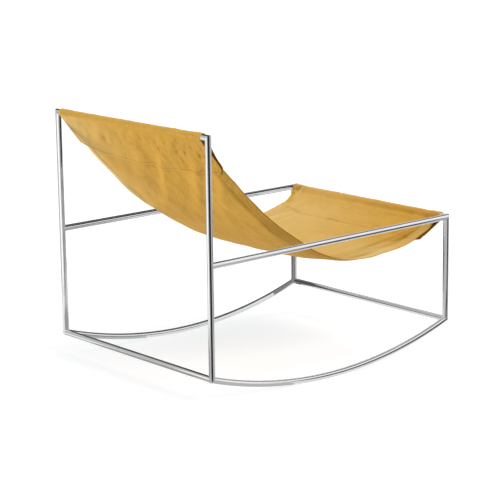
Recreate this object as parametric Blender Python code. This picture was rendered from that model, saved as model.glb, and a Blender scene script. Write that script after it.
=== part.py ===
"""Rocking lounge chair: a canvas sling hung between two bars of a welded frame of round steel tube.

The chair is drawn square, with X to the sitter's right, Y forward and Z up from the level of the
frame's lower corners. It is then tipped back to the attitude in which it stands still, where its
weight hangs straight under the centre of the rockers' curve.
"""
import math

import bmesh
import bpy
from mathutils import Matrix, Vector
from mathutils.geometry import interpolate_bezier

# Frame, measured between the axes of its tubes, in metres
FRAME_WIDTH = 0.700
FRAME_DEPTH = 0.956
RAIL_HEIGHT = 0.327
BACK_HEIGHT = 0.685
ROCKER_DROP = 0.079          # the rocker's lowest point below its two ends

# Tube
TUBE_DIAMETER = 0.018
TUBE_WALL = 0.0015
TUBE_SIDES = 24
ROCKER_STEP = 0.030          # straight run between two rings of the curved tube
WELD_GAP = 0.0003            # left at each cut end, to the tube that it is welded to

# Canvas sling
CANVAS = 0.0014
SIDE_GAP = 0.013             # from the canvas's side edge to the upright beside it
WAIST = 0.009                # how far each side edge draws in half way along
HEM_WIDTH = 0.018            # edge turned to the underside, so the canvas is double there
HEM_STEP = 0.005             # over which the hem's fold steps down to the single canvas
BAR_SLACK = 0.0004           # between a bar and the sleeve that hangs on it
FLAP_LENGTH = 0.135          # from the bar, along the panel, to the flap's free edge
FLAP_GAPE = 0.011            # how far the flap's corners stand off the panel
GAPE_CURL = 12               # the higher, the closer to the corners the flap stands off

# The panel's hang. Slopes are in degrees below the level at the rear bar and above it at the front.
EDGE_REAR_SLOPE = 75.8
MIDDLE_REAR_SLOPE = 61.6
FRONT_SLOPE = 53.8
SEAT_SETBACK = 0.3215        # the side edges' lowest point, behind the front bar
SEAT_DROP = 0.0833           # and below the rails
MIDDLE_SETBACK = 0.063       # the middle's lowest point is this much further back
MIDDLE_SAG = 0.0095          # and this much lower
REAR_PULL = 0.0956           # lengths of the hang curve's four handles
BACK_PULL = 0.2817
SEAT_PULL = 0.030
FRONT_PULL = 0.0945
EDGE_CURL = 4                # the higher, the closer to the edges the cross curve keeps

# Closure: a strip of hooks on the flap pressed on a strip of loops on the panel
TAPE_WIDTH = 0.025
TAPE_THICKNESS = 0.0012
TAPE_MARGIN = 0.007          # from the flap's free edge to the strips
TAPE_INSET = 0.040           # from the canvas's side edge to the strips' ends
SEWN_GAP = 0.0004            # between two layers that lie on each other

# Masses for the balance, in kilograms per cubic metre
STEEL = 7850
CANVAS_WEIGHT = 300

# Fineness of the canvas's faces
WRAP_STEPS = 7               # round a bar
PANEL_STEPS = 13             # along the panel, between the two flaps' ends
ACROSS_STEPS = 5             # across the panel, between the strips' ends
CURVE_STEPS = 40             # in each half of the hang curve

TUBE_RADIUS = TUBE_DIAMETER / 2
SIDES = {"left": -FRAME_WIDTH / 2, "right": FRAME_WIDTH / 2}
RIGHT = Vector((1, 0, 0))
FORWARD = Vector((0, 1, 0))
UP = Vector((0, 0, 1))

# The rocker's arc: its radius, the angle from its middle to an end and its centre in Y and Z
ROCKER_RADIUS = FRAME_DEPTH ** 2 / (8 * ROCKER_DROP) + ROCKER_DROP / 2
ROCKER_SWEEP = math.asin(FRAME_DEPTH / 2 / ROCKER_RADIUS)
ROCKER_CENTRE = Vector((0, FRAME_DEPTH / 2, ROCKER_RADIUS - ROCKER_DROP))
REAR_TANGENT = Vector((0, math.cos(ROCKER_SWEEP), -math.sin(ROCKER_SWEEP)))
FRONT_TANGENT = Vector((0, -math.cos(ROCKER_SWEEP), -math.sin(ROCKER_SWEEP)))


def clear_scene():
    for old in list(bpy.data.objects):
        bpy.data.objects.remove(old)


def principled(name, colour, roughness, metallic):
    material = bpy.data.materials.new(name)
    material.use_nodes = True
    shader = material.node_tree.nodes["Principled BSDF"]
    shader.inputs["Base Color"].default_value = (*colour, 1)
    shader.inputs["Roughness"].default_value = roughness
    shader.inputs["Metallic"].default_value = metallic
    return material


def finish(name, mesh, material, parent):
    """Name the mesh's object, shade it smooth except at its cut ends, and hang it on the parent."""
    mesh.materials.append(material)
    mesh.shade_smooth()
    mesh.set_sharp_from_angle(angle=math.radians(40))
    piece = bpy.data.objects.new(name, mesh)
    bpy.context.scene.collection.objects.link(piece)
    piece.parent = parent
    return piece


# Tubes

def ring(direction, radius, ridge=None):
    """Offsets from the axis to the corners of a ring round it.

    One corner points along the ridge, if there is one; otherwise a flat side faces down or back.
    """
    across = ridge or direction.cross(RIGHT).normalized()
    beside = direction.cross(across).normalized()
    step = 2 * math.pi / TUBE_SIDES
    first = 0 if ridge else step / 2
    angles = [first + k * step for k in range(TUBE_SIDES)]
    return [radius * (across * math.cos(a) + beside * math.sin(a)) for a in angles]


def mitre(corner, away, others):
    """Flat cut through the corner, half way between this tube, which runs away, and the other one."""
    normal = (away - others[0]).normalized()
    return lambda offset: corner + offset + away * (WELD_GAP / 2 - offset.dot(normal)) / away.dot(normal)


def butt(corner, away, others):
    """Saddle cut that fits this tube's end round the other tubes that meet at the corner."""
    reach = TUBE_RADIUS + WELD_GAP

    def cut(offset):
        nearest = max(others, key=offset.dot)
        miss = offset.dot(away.cross(nearest))
        return corner + offset + away * math.sqrt(reach ** 2 - miss ** 2)
    return cut


def tube(name, start, start_cut, end, end_cut, steel, parent, stations=(), ridge=None):
    """Hollow tube between two cuts. Start and end are directions; stations are (point, direction)."""
    walls = []
    for radius in (TUBE_RADIUS, TUBE_RADIUS - TUBE_WALL):
        rings = [[start_cut(offset) for offset in ring(start, radius, ridge)]]
        rings += [[point + offset for offset in ring(ahead, radius)] for point, ahead in stations]
        rings.append([end_cut(offset) for offset in ring(end, radius, ridge)])
        walls.append(rings)
    shape = bmesh.new()
    outer, inner = [[[shape.verts.new(p) for p in points] for points in rings] for rings in walls]
    strips = list(zip(outer, outer[1:])) + list(zip(inner[1:], inner))
    strips += [(inner[0], outer[0]), (outer[-1], inner[-1])]
    for low, high in strips:
        for k in range(TUBE_SIDES):
            after = (k + 1) % TUBE_SIDES
            shape.faces.new((low[k], low[after], high[after], high[k]))
    bmesh.ops.recalc_face_normals(shape, faces=shape.faces)
    mesh = bpy.data.meshes.new(name)
    shape.to_mesh(mesh)
    shape.free()
    return finish(name, mesh, steel, parent)


def rocker_point(x, angle):
    """Point of a rocker's axis and its direction there; the angle is counted from its middle."""
    point = ROCKER_CENTRE + ROCKER_RADIUS * Vector((0, math.sin(angle), -math.cos(angle)))
    return point + RIGHT * x, Vector((0, math.cos(angle), math.sin(angle)))


def rocker_stations(x, rest_angle):
    """Rings along a rocker, spaced so that one flat lies level when the chair stands still."""
    step = ROCKER_STEP / ROCKER_RADIUS
    limit = ROCKER_SWEEP - (ROCKER_STEP / 2) / ROCKER_RADIUS
    first = math.ceil((-limit - rest_angle) / step - 0.5)
    last = math.floor((limit - rest_angle) / step - 0.5)
    return [rocker_point(x, rest_angle + (k + 0.5) * step) for k in range(first, last + 1)]


def side_frame(side, x, rest_angle, steel, parent):
    """One side's two uprights, its rail and its rocker."""
    rear_foot, rear_head = Vector((x, 0, 0)), Vector((x, 0, BACK_HEIGHT))
    front_foot, front_head = Vector((x, FRAME_DEPTH, 0)), Vector((x, FRAME_DEPTH, RAIL_HEIGHT))
    rail_end = Vector((x, 0, RAIL_HEIGHT))
    inward = -RIGHT if x > 0 else RIGHT
    tube(f"rear_upright_{side}", UP, mitre(rear_foot, UP, [REAR_TANGENT]),
         UP, mitre(rear_head, -UP, [inward]), steel, parent)
    tube(f"front_upright_{side}", UP, mitre(front_foot, UP, [FRONT_TANGENT]),
         UP, mitre(front_head, -UP, [-FORWARD]), steel, parent)
    tube(f"side_rail_{side}", FORWARD, butt(rail_end, FORWARD, [UP]),
         FORWARD, mitre(front_head, -FORWARD, [-UP]), steel, parent)
    tube(f"rocker_{side}", REAR_TANGENT, mitre(rear_foot, REAR_TANGENT, [UP]),
         -FRONT_TANGENT, mitre(front_foot, FRONT_TANGENT, [UP]), steel, parent,
         rocker_stations(x, rest_angle))


def cross_bar(name, y, z, joint, others, steel, parent):
    """Bar from side to side, joined at each end to the side tubes that run from there."""
    left, right = [Vector((x, y, z)) for x in SIDES.values()]
    ridge = sum(others, Vector()).normalized()
    tube(name, RIGHT, joint(left, RIGHT, others), RIGHT, joint(right, -RIGHT, others),
         steel, parent, ridge=ridge)


def cross_bars(steel, parent):
    cross_bar("rear_upper_bar", 0, BACK_HEIGHT, mitre, [-UP], steel, parent)
    cross_bar("rear_lower_bar", 0, 0, butt, [UP, REAR_TANGENT], steel, parent)
    cross_bar("front_upper_bar", FRAME_DEPTH, RAIL_HEIGHT, butt, [-UP, -FORWARD], steel, parent)
    cross_bar("front_lower_bar", FRAME_DEPTH, 0, butt, [UP, FRONT_TANGENT], steel, parent)


# Canvas, drawn as sections in the plane of Y and Z at shares v of its half width

HALF_WIDTH = FRAME_WIDTH / 2 - TUBE_RADIUS - SIDE_GAP
HEM_UNDER = CANVAS * 1.5     # from the middle of the single canvas to the hem's underside
HEM_EDGE = 1 - HEM_WIDTH / HALF_WIDTH
HEM_FOOT = 1 - (HEM_WIDTH + HEM_STEP) / HALF_WIDTH
TAPE_END = 1 - TAPE_INSET / HALF_WIDTH
TAPE_TOP = FLAP_LENGTH - TAPE_MARGIN - TAPE_WIDTH
TAPE_FOOT = FLAP_LENGTH - TAPE_MARGIN
LOOP_MIDDLE = TAPE_TOP / 2

# Distances out from the middle of the panel's canvas to the middle of each layer under it
LOOP_LAYER = CANVAS / 2 + SEWN_GAP + TAPE_THICKNESS / 2
HOOK_LAYER = LOOP_LAYER + TAPE_THICKNESS + SEWN_GAP
FLAP_LAYER = HOOK_LAYER + TAPE_THICKNESS / 2 + SEWN_GAP + CANVAS / 2

# A sleeve goes at most this far round its bar. Its flat facets and double hem clear the bar by the slack.
SLEEVE_TURN = math.radians(210)
SLEEVE_RADIUS = (TUBE_RADIUS + BAR_SLACK + HEM_UNDER) / math.cos(SLEEVE_TURN / WRAP_STEPS / 2)
REAR_BAR = Vector((0, BACK_HEIGHT))
FRONT_BAR = Vector((FRAME_DEPTH, RAIL_HEIGHT))


def turned(angle):
    return Vector((math.cos(angle), math.sin(angle)))


def hang_curve(v):
    """Points of the panel's section from bar to bar, and the angles where it leaves each bar."""
    middle = 1 - abs(v) ** EDGE_CURL
    rear_slope = math.radians(EDGE_REAR_SLOPE + (MIDDLE_REAR_SLOPE - EDGE_REAR_SLOPE) * middle)
    front_slope = math.radians(FRONT_SLOPE)
    rear_angle = math.pi / 2 - rear_slope
    front_angle = math.pi / 2 + front_slope
    rear = REAR_BAR + SLEEVE_RADIUS * turned(rear_angle)
    front = FRONT_BAR + SLEEVE_RADIUS * turned(front_angle)
    low = Vector((FRAME_DEPTH - SEAT_SETBACK - MIDDLE_SETBACK * middle,
                  RAIL_HEIGHT - SEAT_DROP - MIDDLE_SAG * middle))
    level = Vector((1, 0))
    back = interpolate_bezier(rear, rear + REAR_PULL * turned(-rear_slope),
                              low - BACK_PULL * level, low, CURVE_STEPS)
    seat = interpolate_bezier(low, low + SEAT_PULL * level,
                              front - FRONT_PULL * turned(front_slope), front, CURVE_STEPS)
    return back + seat[1:], rear_angle, front_angle


def along(points, distance):
    """Point at a distance along a line of points, and the direction out of the panel's underside."""
    for a, b in zip(points, points[1:]):
        run = (b - a).length
        if distance <= run:
            break
        distance -= run
    ahead = (b - a).normalized()
    return a + ahead * distance, Vector((ahead.y, -ahead.x))


def touch_angle(bar, point, side):
    """Angle on a sleeve's circle where a straight line from the point touches it."""
    reach = point - bar
    return math.atan2(reach.y, reach.x) + side * math.acos(SLEEVE_RADIUS / reach.length)


def wrap(bar, start, end):
    """Points round a bar between two angles, clockwise, without the two ends."""
    turn = (start - end) % (2 * math.pi)
    return [bar + SLEEVE_RADIUS * turned(start - turn * k / WRAP_STEPS) for k in range(1, WRAP_STEPS)]


def flap(points, length, bar, side, from_front, gape):
    """A flap's section from its free edge to where it touches its bar, and that angle."""
    def under(distance):
        place, out = along(points, length - distance if from_front else distance)
        return place + out * (FLAP_LAYER + gape)
    sewn = [under(distance) for distance in (FLAP_LENGTH, TAPE_FOOT, TAPE_TOP)]
    angle = touch_angle(bar, sewn[-1], side)
    top = bar + SLEEVE_RADIUS * turned(angle)
    return sewn + [(sewn[-1] + top) / 2, top], angle


def canvas_section(v):
    """The canvas's middle line at v, from the rear flap's free edge to the front flap's."""
    points, rear_angle, front_angle = hang_curve(v)
    length = sum((b - a).length for a, b in zip(points, points[1:]))
    gape = FLAP_GAPE * abs(v) ** GAPE_CURL
    ends = [0, LOOP_MIDDLE, TAPE_TOP, TAPE_FOOT, FLAP_LENGTH]
    free = (length - 2 * FLAP_LENGTH) / PANEL_STEPS
    inner = [FLAP_LENGTH + free * k for k in range(1, PANEL_STEPS)]
    places = ends + inner + [length - end for end in reversed(ends)]
    panel = [along(points, place)[0] for place in places]
    rear, rear_touch = flap(points, length, REAR_BAR, -1, False, gape)
    front, front_touch = flap(points, length, FRONT_BAR, 1, True, gape)
    line = rear + wrap(REAR_BAR, rear_touch, rear_angle) + panel
    line += wrap(FRONT_BAR, front_angle, front_touch) + list(reversed(front))
    drawn_in = [0] * (len(rear) + WRAP_STEPS - 1) + [place / length for place in places]
    drawn_in += [0] * (len(line) - len(drawn_in))
    halves = [HALF_WIDTH - WAIST * math.sin(math.pi * share) for share in drawn_in]
    return [Vector((v * half, p.x, p.y)) for half, p in zip(halves, line)]


def columns(edge):
    """Shares of the half width at which the canvas has faces, from -edge to edge."""
    inner = [TAPE_END * (2 * k / ACROSS_STEPS - 1) for k in range(ACROSS_STEPS + 1)]
    outer = [v for v in (HEM_FOOT, HEM_EDGE, 1) if v <= edge]
    return [-v for v in reversed(outer)] + inner + outer


def sheet(name, grid, upper, under, material, parent):
    """Closed solid round a grid of points: upper and under are its two faces' distances by column."""
    last_row, last = len(grid) - 1, len(grid[0]) - 1
    shape = bmesh.new()
    faces = {+1: [], -1: []}
    for i, row in enumerate(grid):
        tops, bottoms = [], []
        for j, place in enumerate(row):
            over = row[min(j + 1, last)] - row[max(j - 1, 0)]
            down = grid[min(i + 1, last_row)][j] - grid[max(i - 1, 0)][j]
            normal = over.cross(down).normalized()
            tops.append(shape.verts.new(place + normal * upper[j]))
            bottoms.append(shape.verts.new(place - normal * under[j]))
        faces[+1].append(tops)
        faces[-1].append(bottoms)
    for rows in faces.values():
        for a, b in zip(rows, rows[1:]):
            for j in range(last):
                shape.faces.new((a[j], a[j + 1], b[j + 1], b[j]))
    tops, bottoms = faces[+1], faces[-1]
    rims = [(tops[0], bottoms[0]), (tops[-1], bottoms[-1])]
    rims += [([row[j] for row in tops], [row[j] for row in bottoms]) for j in (0, last)]
    for a, b in rims:
        for k in range(len(a) - 1):
            shape.faces.new((a[k], a[k + 1], b[k + 1], b[k]))
    bmesh.ops.recalc_face_normals(shape, faces=shape.faces)
    mesh = bpy.data.meshes.new(name)
    shape.to_mesh(mesh)
    shape.free()
    return finish(name, mesh, material, parent)


def canvas_grid():
    sections = [canvas_section(v) for v in columns(1)]
    return [list(row) for row in zip(*sections)]


def sling(grid, canvas, parent):
    under = [CANVAS / 2 if abs(v) < HEM_EDGE else HEM_UNDER for v in columns(1)]
    sheet("canvas_sling", grid, [CANVAS / 2] * len(under), under, canvas, parent)


def tape(name, from_front, layer, material, parent):
    """Strip across the panel's underside, beside the flap's free edge."""
    rows = []
    for distance in (TAPE_TOP, TAPE_FOOT):
        row = []
        for v in columns(TAPE_END):
            points = hang_curve(v)[0]
            length = sum((b - a).length for a, b in zip(points, points[1:]))
            place, out = along(points, length - distance if from_front else distance)
            place = place + out * layer
            half = HALF_WIDTH - WAIST * math.sin(math.pi * distance / length)
            row.append(Vector((v * half, place.x, place.y)))
        rows.append(row)
    if from_front:
        rows.reverse()
    faces = [TAPE_THICKNESS / 2] * len(rows[0])
    sheet(name, rows, faces, faces, material, parent)


def tapes(webbing, parent):
    for end, from_front in (("rear", False), ("front", True)):
        tape(f"{end}_loop_tape", from_front, LOOP_LAYER, webbing, parent)
        tape(f"{end}_hook_tape", from_front, HOOK_LAYER, webbing, parent)


# Balance and placing

def tube_axes():
    """The middle lines of all the tubes, for their weight."""
    lines = []
    for x in SIDES.values():
        lines.append([(x, 0, 0), (x, 0, BACK_HEIGHT)])
        lines.append([(x, FRAME_DEPTH, 0), (x, FRAME_DEPTH, RAIL_HEIGHT)])
        lines.append([(x, 0, RAIL_HEIGHT), (x, FRAME_DEPTH, RAIL_HEIGHT)])
        angles = [ROCKER_SWEEP * (k / CURVE_STEPS * 2 - 1) for k in range(CURVE_STEPS + 1)]
        lines.append([rocker_point(x, angle)[0] for angle in angles])
    left, right = SIDES.values()
    bars = ((0, 0), (0, BACK_HEIGHT), (FRAME_DEPTH, 0), (FRAME_DEPTH, RAIL_HEIGHT))
    lines += [[(left, y, z), (right, y, z)] for y, z in bars]
    return [[Vector(p) for p in line] for line in lines]


def rest_tilt(grid):
    """How far the chair tips back, in radians, until its weight is under the rockers' centre."""
    wall = math.pi * (TUBE_RADIUS ** 2 - (TUBE_RADIUS - TUBE_WALL) ** 2) * STEEL
    pieces = [((b - a).length * wall, (a + b) / 2)
              for line in tube_axes() for a, b in zip(line, line[1:])]
    for top, foot in zip(grid, grid[1:]):
        for a, b, c, d in zip(top, top[1:], foot[1:], foot):
            area = (c - a).cross(d - b).length / 2
            pieces.append((area * CANVAS * CANVAS_WEIGHT, (a + b + c + d) / 4))
    weight = sum(mass for mass, _ in pieces)
    centre = sum((mass * place for mass, place in pieces), Vector()) / weight
    print(f"weight {weight:.2f} kg, its centre {centre.y:.3f} m forward and {centre.z:.3f} m up")
    return math.atan2(ROCKER_CENTRE.y - centre.y, ROCKER_CENTRE.z - centre.z)


def stand(parent, tilt):
    """Tip the chair back and set it on the floor, with the origin under the middle of its box."""
    turn = Matrix.Rotation(tilt, 3, "X")
    places = [turn @ vertex.co for piece in parent.children for vertex in piece.data.vertices]
    front, rear = max(p.y for p in places), min(p.y for p in places)
    parent.rotation_euler = (tilt, 0, 0)
    parent.location = (0, -(front + rear) / 2, -min(p.z for p in places))


def main():
    clear_scene()
    chair = bpy.data.objects.new("chair", None)
    bpy.context.scene.collection.objects.link(chair)
    steel = principled("polished steel", (0.78, 0.79, 0.80), 0.16, 1.0)
    canvas = principled("ochre canvas", (0.62, 0.37, 0.085), 0.85, 0.0)
    webbing = principled("ochre tape", (0.42, 0.25, 0.06), 0.9, 0.0)
    grid = canvas_grid()
    tilt = rest_tilt(grid)
    print(f"the chair tips back {math.degrees(tilt):.2f} degrees at rest")
    for side, x in SIDES.items():
        side_frame(side, x, -tilt, steel, chair)
    cross_bars(steel, chair)
    sling(grid, canvas, chair)
    tapes(webbing, chair)
    stand(chair, tilt)


main()
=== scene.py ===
# %% [markdown]
# # A rocking lounge chair of steel tube and canvas
# The real chair is a welded frame of polished steel tube. One long piece of ochre canvas hangs from
# its two upper bars, and each end of the canvas goes over a bar and is pressed shut underneath.
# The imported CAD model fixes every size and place, so it is loaded first and never moved. This
# lesson dresses it: it makes the finer steel, the hung cloth, the seams and the materials.

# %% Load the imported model
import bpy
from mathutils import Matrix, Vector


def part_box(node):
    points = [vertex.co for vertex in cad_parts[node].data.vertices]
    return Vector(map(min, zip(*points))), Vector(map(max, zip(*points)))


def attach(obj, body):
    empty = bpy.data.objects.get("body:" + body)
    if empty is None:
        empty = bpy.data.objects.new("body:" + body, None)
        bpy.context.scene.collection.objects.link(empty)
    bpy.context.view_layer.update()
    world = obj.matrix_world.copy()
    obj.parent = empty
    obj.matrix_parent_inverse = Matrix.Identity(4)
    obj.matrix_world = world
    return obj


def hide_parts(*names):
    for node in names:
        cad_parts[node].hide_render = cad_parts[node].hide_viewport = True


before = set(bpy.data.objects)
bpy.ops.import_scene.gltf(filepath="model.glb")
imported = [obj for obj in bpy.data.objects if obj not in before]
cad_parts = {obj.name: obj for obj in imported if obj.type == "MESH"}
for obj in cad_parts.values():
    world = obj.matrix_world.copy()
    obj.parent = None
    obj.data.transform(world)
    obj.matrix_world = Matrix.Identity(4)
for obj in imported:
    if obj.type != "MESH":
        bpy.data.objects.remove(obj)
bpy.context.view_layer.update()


# %% [markdown]
# ## The chair's own axes
# The chair stands tipped back a little, as it does when it rocks to a stop. It is easier to model it
# square, with X to the sitter's right, Y forward and Z up, and to tip the finished meshes. The
# middles of the four cross bars give those axes and the frame's sizes, so nothing is measured twice.

# %% Square axes from the cross bars
import math

import bmesh
import bpy
import numpy as np
from mathutils import Matrix, Vector

scene = bpy.context.scene


def middle(node):
    low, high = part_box(node)
    return (low + high) / 2


rear_foot = middle("rear_lower_bar")
rear_head = middle("rear_upper_bar")
front_foot = middle("front_lower_bar")
front_head = middle("front_upper_bar")
DEPTH = (front_foot - rear_foot).length
BACK_HEIGHT = (rear_head - rear_foot).length
RAIL_HEIGHT = (front_head - front_foot).length
HALF_SPAN = middle("side_rail_right").x

RIGHT = Vector((1, 0, 0))
axes = Matrix((RIGHT, (front_foot - rear_foot) / DEPTH, (rear_head - rear_foot) / BACK_HEIGHT))
STAND = Matrix.Translation(rear_foot) @ axes.transposed().to_4x4()
tilt = math.degrees(math.asin(axes[1].z))
print(f"frame {2 * HALF_SPAN:.3f} x {DEPTH:.3f} m, back {BACK_HEIGHT:.3f} m, tipped {tilt:.2f} degrees")

# %% [markdown]
# ## The camera
# The photograph looks at the chair from behind, on the sitter's right, with a long lens a little
# above the seat. The camera's place was solved from the frame's ten corners in the picture. A camera
# looks along its own -Z, so it is turned up, round and last a little about its own line of sight.

# %% Camera
CAMERA_PLACE = (4.0636, -3.6051, 1.4430)
CAMERA_AZIMUTH = 48.589
CAMERA_ELEVATION = 11.586
CAMERA_ROLL = 0.749
SENSOR_WIDTH = 36
FOCAL_LENGTH = 129.518

camera = bpy.data.objects.new("camera", bpy.data.cameras.new("camera"))
camera.data.sensor_width = SENSOR_WIDTH
camera.data.lens = FOCAL_LENGTH
turns = [Matrix.Rotation(math.radians(angle), 4, axis) for angle, axis in
         ((CAMERA_AZIMUTH, "Z"), (90 - CAMERA_ELEVATION, "X"), (CAMERA_ROLL, "Z"))]
camera.matrix_world = Matrix.Translation(CAMERA_PLACE) @ turns[0] @ turns[1] @ turns[2]
scene.collection.objects.link(camera)
scene.camera = camera
print(f"camera {Vector(CAMERA_PLACE).length:.2f} m from the origin, {FOCAL_LENGTH:.0f} mm lens")

# %% [markdown]
# ## Node helpers
# Every material is a small tree of nodes. One helper adds a node, sets its options and joins its
# inputs, where an input is either a plain value or the socket that feeds it. The others are the few
# steps that most trees share: a sum, a mix of two colours, and a value carried to another range.

# %% Helpers for node trees
def add(tree, kind, inputs=None, **options):
    """Add a node; an input is a value, or the socket that feeds it."""
    node = tree.nodes.new(kind)
    for name, value in options.items():
        setattr(node, name, value)
    for key, value in (inputs or {}).items():
        if isinstance(value, bpy.types.NodeSocket):
            tree.links.new(value, node.inputs[key])
        else:
            node.inputs[key].default_value = value
    return node


def calc(tree, operation, *values):
    """Add one sum and give its result."""
    return add(tree, "ShaderNodeMath", dict(enumerate(values)), operation=operation).outputs[0]


def blended(tree, share, first, second, kind="RGBA"):
    """Mix two colours or numbers by a share and give the result."""
    slots = {"RGBA": (6, 7, 2), "FLOAT": (2, 3, 0)}[kind]
    inputs = {0: share, slots[0]: first, slots[1]: second}
    return add(tree, "ShaderNodeMix", inputs, data_type=kind).outputs[slots[2]]


def mapped(tree, value, start, end, low=0.0, high=1.0, **options):
    """Carry a value from one range to another, and no further than its ends."""
    inputs = {"Value": value, "From Min": start, "From Max": end, "To Min": low, "To Max": high}
    return add(tree, "ShaderNodeMapRange", inputs, **options).outputs[0]


def grey(value):
    return (value, value, value, 1)


print("node helpers ready")

# %% [markdown]
# ## Studio
# The chair stands on a white sweep. A floor that was white in itself would throw too much light up,
# so its whiteness is for the camera only: part of it is its own glow, and the rest takes the chair's
# soft shadow. The floor and the cards further on show one face only, so a look from below goes
# through them. The floor casts no shadow, because one lamp throws its light up from below its level.

# %% Sheets that show one face
def empty_material(name):
    """Material with no nodes yet, and its tree."""
    material = bpy.data.materials.new(name)
    material.use_nodes = True
    material.node_tree.nodes.clear()
    return material, material.node_tree


def end_one_sided(tree, front):
    """End a material with a shader on the face and nothing on the back."""
    clear = add(tree, "ShaderNodeBsdfTransparent").outputs[0]
    behind = add(tree, "ShaderNodeNewGeometry").outputs["Backfacing"]
    both = add(tree, "ShaderNodeMixShader", {0: behind, 1: front, 2: clear}).outputs[0]
    add(tree, "ShaderNodeOutputMaterial", {"Surface": both})


def flat_sheet(name, corners, material):
    mesh = bpy.data.meshes.new(name)
    mesh.from_pydata(corners, [], [(0, 1, 2, 3)])
    mesh.materials.append(material)
    sheet = bpy.data.objects.new(name, mesh)
    scene.collection.objects.link(sheet)
    return sheet


def lying(low, high, height):
    """Corners of a sheet that lies level, face up."""
    (x0, y0), (x1, y1) = low, high
    return [(x0, y0, height), (x1, y0, height), (x1, y1, height), (x0, y1, height)]


def upright(start, end, foot, top):
    """Corners of an upright sheet over a line on the floor; its face is to the right of that line."""
    (x0, y0), (x1, y1) = start, end
    return [(x0, y0, foot), (x1, y1, foot), (x1, y1, top), (x0, y0, top)]


print("sheets ready")

# %% Floor
FLOOR_SIZE = 60
FLOOR_DROP = 0.0002           # the rockers' round undersides come this much below the faceted solids
SEEN_MATT = (0.547, 0.45, 0.389, 1)    # what takes the shadow in the camera's view,
SEEN_GLOW = (0.626, 0.708, 0.764, 1)   # and the glow that makes it up to white
BOUNCE_MATT = grey(0.40)      # the same two for the light that the floor throws up
BOUNCE_GLOW = grey(0.26)
MIRRORED_FLOOR = grey(0.54)   # what the steel mirrors

white_floor, tree = empty_material("white floor")
ray = add(tree, "ShaderNodeLightPath").outputs
albedo = blended(tree, ray["Is Camera Ray"], BOUNCE_MATT, SEEN_MATT)
matt = add(tree, "ShaderNodeBsdfDiffuse", {"Color": albedo}).outputs[0]
whiteness = blended(tree, ray["Is Camera Ray"], BOUNCE_GLOW, SEEN_GLOW)
glow = add(tree, "ShaderNodeEmission", {"Color": whiteness}).outputs[0]
lit = add(tree, "ShaderNodeAddShader", {0: matt, 1: glow}).outputs[0]
mirrored = add(tree, "ShaderNodeEmission", {"Color": MIRRORED_FLOOR}).outputs[0]
shown = add(tree, "ShaderNodeMixShader", {0: ray["Is Glossy Ray"], 1: lit, 2: mirrored}).outputs[0]
end_one_sided(tree, shown)

corner = FLOOR_SIZE / 2
floor = flat_sheet("floor", lying((-corner, -corner), (corner, corner), -FLOOR_DROP), white_floor)
floor.visible_shadow = False
print("floor", FLOOR_SIZE, "m square")

# %% [markdown]
# ## Room and lamps
# Polished steel shows the whole room, so its rays see grey walls, one white wall and a dark upper
# part, which draw the dark and white lines along the tubes. Everything else gets a soft light that
# is brighter on the sitter's left. Two wide lamps shine from above, and a reflector that stands low
# on the left lights the back of the canvas from the side.

# %% Walls and ceiling
LEFT_AMBIENT = grey(0.46)
RIGHT_AMBIENT = grey(0.28)
WALL = grey(0.58)
WHITE_WALL = grey(1.0)
DARK_PART = grey(0.06)
DARK_SIDE = (-0.587, 0.544, 0.597)     # towards the dark upper part of the room, beyond the chair
WHITE_SIDE = (0.561, 0.673, 0.482)     # towards the white wall at the chair's front right

room = bpy.data.worlds.new("room")
room.use_nodes = True
scene.world = room
tree = room.node_tree
tree.nodes.clear()
ray = add(tree, "ShaderNodeLightPath").outputs
direction = add(tree, "ShaderNodeTexCoord").outputs["Generated"]


def towards(side, start, end):
    """Share from 0 to 1 as a ray comes nearer to a side of the room."""
    near = add(tree, "ShaderNodeVectorMath", {0: direction, 1: side}, operation="DOT_PRODUCT")
    return mapped(tree, near.outputs["Value"], start, end, interpolation_type="SMOOTHSTEP")


walls = blended(tree, towards(WHITE_SIDE, 0.86, 0.93), WALL, WHITE_WALL)
walls = blended(tree, towards(DARK_SIDE, 0.72, 0.80), walls, DARK_PART)
ambient = blended(tree, towards(RIGHT, -1.0, 1.0), LEFT_AMBIENT, RIGHT_AMBIENT)
mirrored = blended(tree, ray["Is Glossy Ray"], ambient, walls)
seen = blended(tree, ray["Is Camera Ray"], mirrored, grey(1.0))
background = add(tree, "ShaderNodeBackground", {"Color": seen}).outputs[0]
add(tree, "ShaderNodeOutputWorld", {"Surface": background})
scene.view_settings.view_transform = "Standard"
print("room ambient from", RIGHT_AMBIENT[0], "to", LEFT_AMBIENT[0])

# %% Soft lamps
LAMPS = {"top lamp": ((0.10, 0.20, 1.0), 40, 0.30),          # the way to it, its spread and its level
         "right lamp": ((1.20, 0.20, 1.0), 30, 0.46),
         "side lamp": ((-0.84, -0.52, -0.15), 24, 0.72)}


def soft_lamp(name, towards_lamp, spread, level):
    """Wide, even light from one side. The level is what a white surface that faces it gives back."""
    lamp = bpy.data.objects.new(name, bpy.data.lights.new(name, "SUN"))
    lamp.data.angle = math.radians(spread)
    lamp.data.energy = level * math.pi
    lamp.rotation_euler = Vector(towards_lamp).to_track_quat("Z", "Y").to_euler()
    lamp.visible_glossy = False
    scene.collection.objects.link(lamp)


for name, values in LAMPS.items():
    soft_lamp(name, *values)
print(len(LAMPS), "lamps")
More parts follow.
